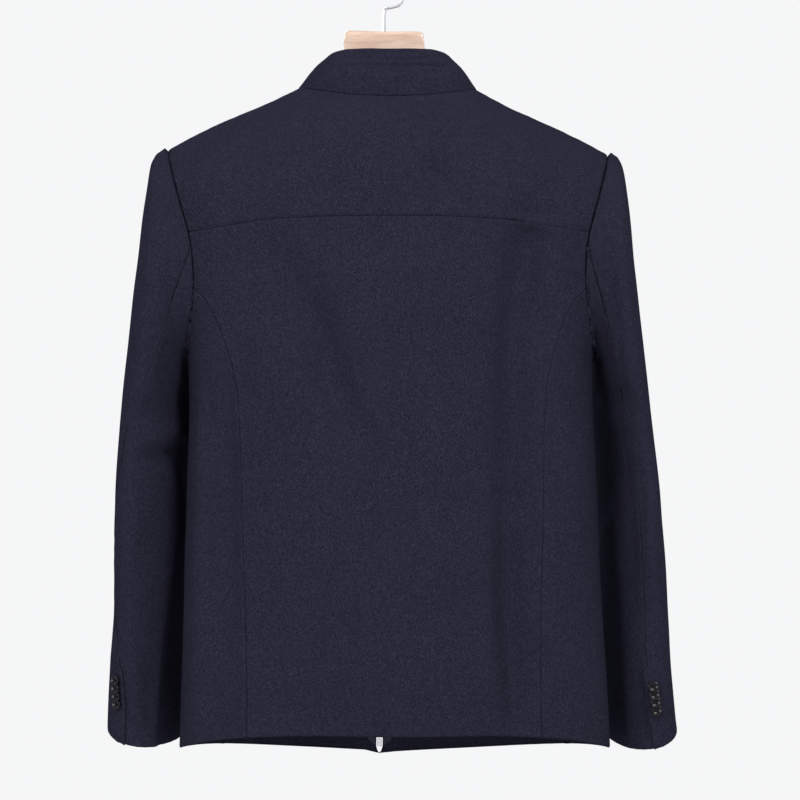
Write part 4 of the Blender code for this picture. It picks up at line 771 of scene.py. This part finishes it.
def steel_finish():
    """Satin steel with a fine grain."""
    steel = Finish("zip_steel", 0.3, 1.0)
    place = steel.coordinates("Object", (1, 1, 1))
    grain = steel.noise(place, 1400, 3.0)
    steel.colour(steel.ramp(grain, [(0.3, (0.50, 0.50, 0.52)), (0.7, (0.72, 0.72, 0.74))]))
    steel.rough(grain, 0.20, 0.38)
    steel.bump(grain, 0.00004)
    return steel.made


def chrome_finish():
    """Polished chrome, a little hazy along the wire."""
    chrome = Finish("hook_chrome", 0.09, 1.0)
    place = chrome.coordinates("Object", (1, 1, 0.2))
    grain = chrome.noise(place, 900, 3.0)
    chrome.colour(chrome.ramp(grain, [(0.3, (0.52, 0.53, 0.55)), (0.7, (0.68, 0.69, 0.71))]))
    chrome.rough(grain, 0.05, 0.15)
    return chrome.made


def wood_finish():
    """Pale lacquered beech, with its grain along the hanger."""
    wood = Finish("pale_wood", 0.35)
    place = wood.coordinates("Object", (0.16, 1, 1))
    rings = wood.noise(place, 120, 4.0, 0.6)
    pores = wood.noise(wood.coordinates("Object", (0.05, 1, 1)), 900, 2.0)
    shades = [(0.25, (0.31, 0.207, 0.152)), (0.55, (0.42, 0.303, 0.235)), (0.8, (0.50, 0.382, 0.318))]
    base = wood.ramp(rings, shades)
    dark = wood.ramp(pores, [(0.55, (1, 1, 1)), (0.72, (0.82, 0.76, 0.70))])
    wood.colour(wood.mix(1.0, base, dark, "MULTIPLY"))
    wood.rough(rings, 0.26, 0.40)
    wood.bump(pores, 0.00006)
    wood.set(Coat_Weight=0.35, Coat_Roughness=0.15)
    return wood.made


def make_panels(wool):
    """The eleven wool pieces, each a shell on its own solid's form."""
    fine, made = {}, {}
    for node, group, *_ in WOOL_PANELS:
        mesh = subdivided(outer_face(node, group), FINE)
        add_edge_loops(mesh, EDGE_LOOPS)
        even_out(mesh, IRONING, open_points(mesh))
        fine[node] = mesh
    trees = {node: tree_of(mesh) for node, mesh in fine.items()}
    for node, group, *_ in WOOL_PANELS:
        mesh = fine[node]
        others = [tree for name, tree in trees.items() if name != node]
        on_sleeve = node.startswith("sleeve")
        apart = [tree for name, tree in trees.items() if name.startswith("sleeve") != on_sleeve]
        work_cloth(mesh, node, group, others, apart)
        lay_out(mesh, node, group)
        mesh.shade_smooth()
        piece = shown(f"cloth_{node}", mesh, wool)
        thicken(piece, CLOTH)
        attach(piece, "jacket")
        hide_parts(node)
        made[node] = piece
    return made


def finished(name, bm, finish, slot, *nodes):
    """A smooth piece from a bmesh, which rides on the jacket."""
    mesh = bpy.data.meshes.new(name)
    bm.to_mesh(mesh)
    bm.free()
    mesh.shade_smooth()
    piece = shown(name, mesh, finish)
    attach(piece, "jacket")
    if nodes:
        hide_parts(*nodes)
    return piece


def evenly_along(line, pitch):
    """Points this far apart along a line, and the way it runs there."""
    line = np.array(line)
    steps = np.linalg.norm(np.diff(line, axis=0), axis=1)
    lengths = np.concatenate([[0.0], np.cumsum(steps)])
    spots = np.arange(pitch / 2, lengths[-1], pitch)
    points = np.stack([np.interp(spots, lengths, line[:, k]) for k in range(3)], -1)
    ahead = np.stack([np.interp(spots + pitch, lengths, line[:, k]) for k in range(3)], -1)
    behind = np.stack([np.interp(spots - pitch, lengths, line[:, k]) for k in range(3)], -1)
    ways = ahead - behind
    return points, ways / np.linalg.norm(ways, axis=1)[:, None]


def set_square(place, along, out):
    """A frame at a place: X along, Z outwards."""
    along, out = Vector(along).normalized(), Vector(out)
    across = out.cross(along).normalized()
    out = along.cross(across)
    turn = Matrix((along, across, out)).transposed().to_4x4()
    return Matrix.Translation(Vector(place)) @ turn


def make_yoke_stitches(panels, thread):
    """The row of stitches along the yoke, over its seam."""
    yoke = panels["back_yoke"].data
    surface, back = tree_of(yoke), tree_of(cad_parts["back_panel"].data)
    points = coordinates(yoke)
    edge = [p for p in points[open_points(yoke)] if back.find_nearest(Vector(p))[3] < YOKE_SEAM_NEAR]
    edge = np.array(sorted(edge, key=lambda p: p[0]))
    edge[:, 2] += YOKE_STITCH_UP
    bm = bmesh.new()
    for place, way in zip(*evenly_along(edge[::STITCH_EVERY], STITCH_PITCH)):
        spot, normal = surface.find_nearest(Vector(place))[:2]
        if (spot - Vector(place)).length > STITCH_OFF:
            continue
        stance = set_square(spot + normal * STITCH_UP, way, normal)
        size = Matrix.Diagonal((*STITCH, 1.0))
        bmesh.ops.create_uvsphere(bm, u_segments=6, v_segments=4, radius=1.0, matrix=stance @ size)
    return finished("yoke_stitches", bm, thread, "navy_wool")


def button_bmesh():
    """One sew-through button round Z: a raised rim, a shallow dish and four holes."""
    bm = bmesh.new()
    verts = [bm.verts.new((radius, 0.0, height)) for radius, height in BUTTON_PROFILE]
    edges = [bm.edges.new(pair) for pair in zip(verts, verts[1:])]
    bmesh.ops.spin(
        bm, geom=verts + edges, cent=(0, 0, 0), axis=(0, 0, 1), angle=math.tau, steps=40, use_merge=True
    )
    bmesh.ops.remove_doubles(bm, verts=bm.verts[:], dist=WELD)
    bmesh.ops.recalc_face_normals(bm, faces=bm.faces[:])
    drill = bmesh.new()
    for x in HOLE_ROWS:
        for y in HOLE_ROWS:
            bmesh.ops.create_cone(
                drill, cap_ends=True, segments=12, radius1=HOLE_R, radius2=HOLE_R, depth=DRILL,
                matrix=Matrix.Translation((x, y, 0)),
            )
    disc, drills = bpy.data.meshes.new("disc"), bpy.data.meshes.new("drills")
    bm.to_mesh(disc)
    drill.to_mesh(drills)
    drill.free()
    disc, drills = shown("disc", disc, None), shown("drills", drills, None)
    cut = disc.modifiers.new("Holes", "BOOLEAN")
    cut.object = drills
    cut.solver = "EXACT"
    pierced = bpy.data.meshes.new_from_object(disc.evaluated_get(bpy.context.evaluated_depsgraph_get()))
    bm.clear()
    bm.from_mesh(pierced)
    bpy.data.objects.remove(disc)
    bpy.data.objects.remove(drills)
    return bm


def button_place(node):
    """Where a button's node lies, with Z out from the sleeve and X down it."""
    points = coordinates(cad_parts[node].data)
    middle = (points.min(axis=0) + points.max(axis=0)) / 2
    out = np.linalg.svd(points - middle)[2][2]
    group = "sleeve_left" if "left" in node else "sleeve_right"
    away = middle - middle_at(group, middle[2])
    if out @ away < 0:
        out = -out
    down = np.array((0, 0, -1.0))
    return set_square(middle, down - out * (down @ out), out)


def make_buttons(horn, thread):
    """The eight cuff buttons, each sewn on through its four holes."""
    shape = button_bmesh()
    for node in sorted(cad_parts):
        if not node.startswith("cuff_button"):
            continue
        stance = button_place(node)
        bm = shape.copy()
        bmesh.ops.transform(bm, matrix=stance, verts=bm.verts[:])
        piece = finished(f"horn_{node}", bm, horn, "buttons", node)
        piece.data.set_sharp_from_angle(angle=math.radians(50))
        bm = bmesh.new()
        for y in HOLE_ROWS:
            place = Matrix.Translation((0, y, HOLE_THREAD_UP)) @ Matrix.Diagonal((*HOLE_THREAD, 1.0))
            bmesh.ops.create_uvsphere(bm, u_segments=10, v_segments=6, radius=1.0, matrix=stance @ place)
        neck = stance @ Matrix.Translation((0, 0, -NECK_DOWN))
        bmesh.ops.create_cone(
            bm, cap_ends=True, segments=10, radius1=NECK_WIDE, radius2=NECK_NARROW, depth=NECK_LONG,
            matrix=neck,
        )
        finished(f"thread_{node}", bm, thread, "navy_wool")
    shape.free()


def make_teeth(steel):
    """The zip's teeth, from its left and right by turns, along the chain's own line."""
    bm = merged("zip_chain")
    corners = np.array(sorted((tuple(v.co) for v in bm.verts), key=lambda p: -p[2]))
    bm.free()
    line = corners[: len(corners) // 4 * 4].reshape(-1, 4, 3).mean(axis=1)
    across, along, thick = TOOTH
    bm = bmesh.new()
    for number, (place, way) in enumerate(zip(*evenly_along(line, TOOTH_PITCH))):
        side = 1 if number % 2 else -1
        stance = set_square(place, way, (0, -1, 0))
        aside = Matrix.Translation((0, side * TOOTH_ASIDE, 0))
        shape = aside @ Matrix.Diagonal((along, across, thick, 1.0))
        tooth = bmesh.ops.create_cube(bm, size=1.0, matrix=stance @ shape)
        head = [v for v in tooth["verts"] if ((v.co - Vector(place)) @ stance.col[1].xyz) * side < 0]
        bmesh.ops.scale(
            bm, verts=head, vec=TOOTH_HEAD, space=Matrix.Translation(-stance.translation)
        )
    return finished("zip_teeth", bm, steel, "zip_metal", "zip_chain")


def make_hook(chrome):
    """The hook: one bent wire with a ball at its tip."""
    radius = HOOK_ARCH + HOOK_R
    turns = np.radians(np.linspace(*HOOK_ARCH_ENDS, 30))
    arch = [(radius * math.cos(t), radius * math.sin(t) - HOOK_ARCH) for t in turns]
    line = bpy.data.curves.new("hook_wire", "CURVE")
    line.dimensions = "3D"
    line.bevel_depth = HOOK_R
    line.bevel_resolution = 6
    line.use_fill_caps = True
    run = line.splines.new("NURBS")
    run.points.add(len(HOOK_FOOT) + len(arch) - 1)
    for spot, (x, z) in zip(run.points, HOOK_FOOT + arch):
        spot.co = (x, 0.0, z, 1.0)
    run.order_u = 3
    run.resolution_u = 5
    run.use_endpoint_u = True
    wire = shown("hook_wire", line, chrome)
    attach(wire, "jacket")
    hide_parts("hanger_hook")
    bm = bmesh.new()
    tip = Matrix.Translation((arch[-1][0], 0, arch[-1][1]))
    bmesh.ops.create_uvsphere(bm, u_segments=24, v_segments=16, radius=HOOK_TIP, matrix=tip)
    finished("hook_tip", bm, chrome, "hook_chrome")


def make_hanger(wood):
    """The hanger's wood, its edges rounded over."""
    bm = merged("hanger_wood")
    bmesh.ops.join_triangles(
        bm, faces=bm.faces[:], angle_face_threshold=math.radians(30), angle_shape_threshold=math.radians(50)
    )
    piece = finished("hanger_body", bm, wood, "hanger_wood", "hanger_wood")
    round_over = piece.modifiers.new("Rounded", "SUBSURF")
    round_over.levels = round_over.render_levels = 2


def make_camera():
    """The photograph's view: straight at the back, from 2.7 m."""
    lens = bpy.data.cameras.new("camera")
    lens.lens = CAMERA_LENS
    lens.sensor_width = CAMERA_SENSOR
    camera = bpy.data.objects.new("camera", lens)
    bpy.context.scene.collection.objects.link(camera)
    camera.location = CAMERA_PLACE
    camera.rotation_euler = (math.radians(90), 0, math.radians(180))
    bpy.context.scene.camera = camera


def area_light(name, place, size, power):
    """A soft square lamp, turned to the jacket's middle."""
    lamp = bpy.data.lights.new(name, "AREA")
    lamp.size = size
    lamp.energy = power
    holder = bpy.data.objects.new(name, lamp)
    bpy.context.scene.collection.objects.link(holder)
    holder.location = place
    holder.rotation_mode = "QUATERNION"
    holder.rotation_quaternion = (Vector(LAMPS_AIM) - Vector(place)).to_track_quat("-Z", "Y")


def make_stage():
    """A pale room: a plain floor, a pale sky and soft lamps."""
    world = bpy.data.worlds.new("studio")
    bpy.context.scene.world = world
    world.use_nodes = True
    background = world.node_tree.nodes["Background"]
    background.inputs["Color"].default_value = SKY
    background.inputs["Strength"].default_value = SKY_STRENGTH
    bm = bmesh.new()
    bmesh.ops.create_circle(bm, cap_ends=True, segments=96, radius=FLOOR_R)
    bmesh.ops.translate(bm, verts=bm.verts[:], vec=(0, 0, FLOOR_HEIGHT))
    mesh = bpy.data.meshes.new("floor")
    bm.to_mesh(mesh)
    bm.free()
    floor_finish = Finish("floor", 0.8)
    floor_finish.colour((0.82, 0.82, 0.83))
    shown("floor", mesh, floor_finish.made)
    for lamp in LAMPS:
        area_light(*lamp)


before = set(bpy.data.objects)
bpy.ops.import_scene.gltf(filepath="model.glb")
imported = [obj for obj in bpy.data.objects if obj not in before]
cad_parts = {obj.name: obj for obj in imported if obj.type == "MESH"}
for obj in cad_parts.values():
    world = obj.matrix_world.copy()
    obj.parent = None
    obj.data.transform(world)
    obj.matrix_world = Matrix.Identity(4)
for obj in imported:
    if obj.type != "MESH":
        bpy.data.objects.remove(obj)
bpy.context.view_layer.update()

bpy.context.scene.view_settings.view_transform = "Standard"
make_camera()
make_stage()

wool = wool_finish()
tape = tape_finish()
thread = thread_finish()
horn = horn_finish()
steel = steel_finish()
chrome = chrome_finish()
wood = wood_finish()

panels = make_panels(wool)
make_yoke_stitches(panels, thread)
make_buttons(horn, thread)
make_teeth(steel)
make_hook(chrome)
make_hanger(wood)

for side in ("left", "right"):
    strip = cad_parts[f"zip_tape_{side}"]
    strip.data.materials.clear()
    strip.data.materials.append(tape)
for node in ("zip_box", "zip_slider", "zip_pull"):
    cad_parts[node].data.materials.clear()
    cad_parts[node].data.materials.append(steel)
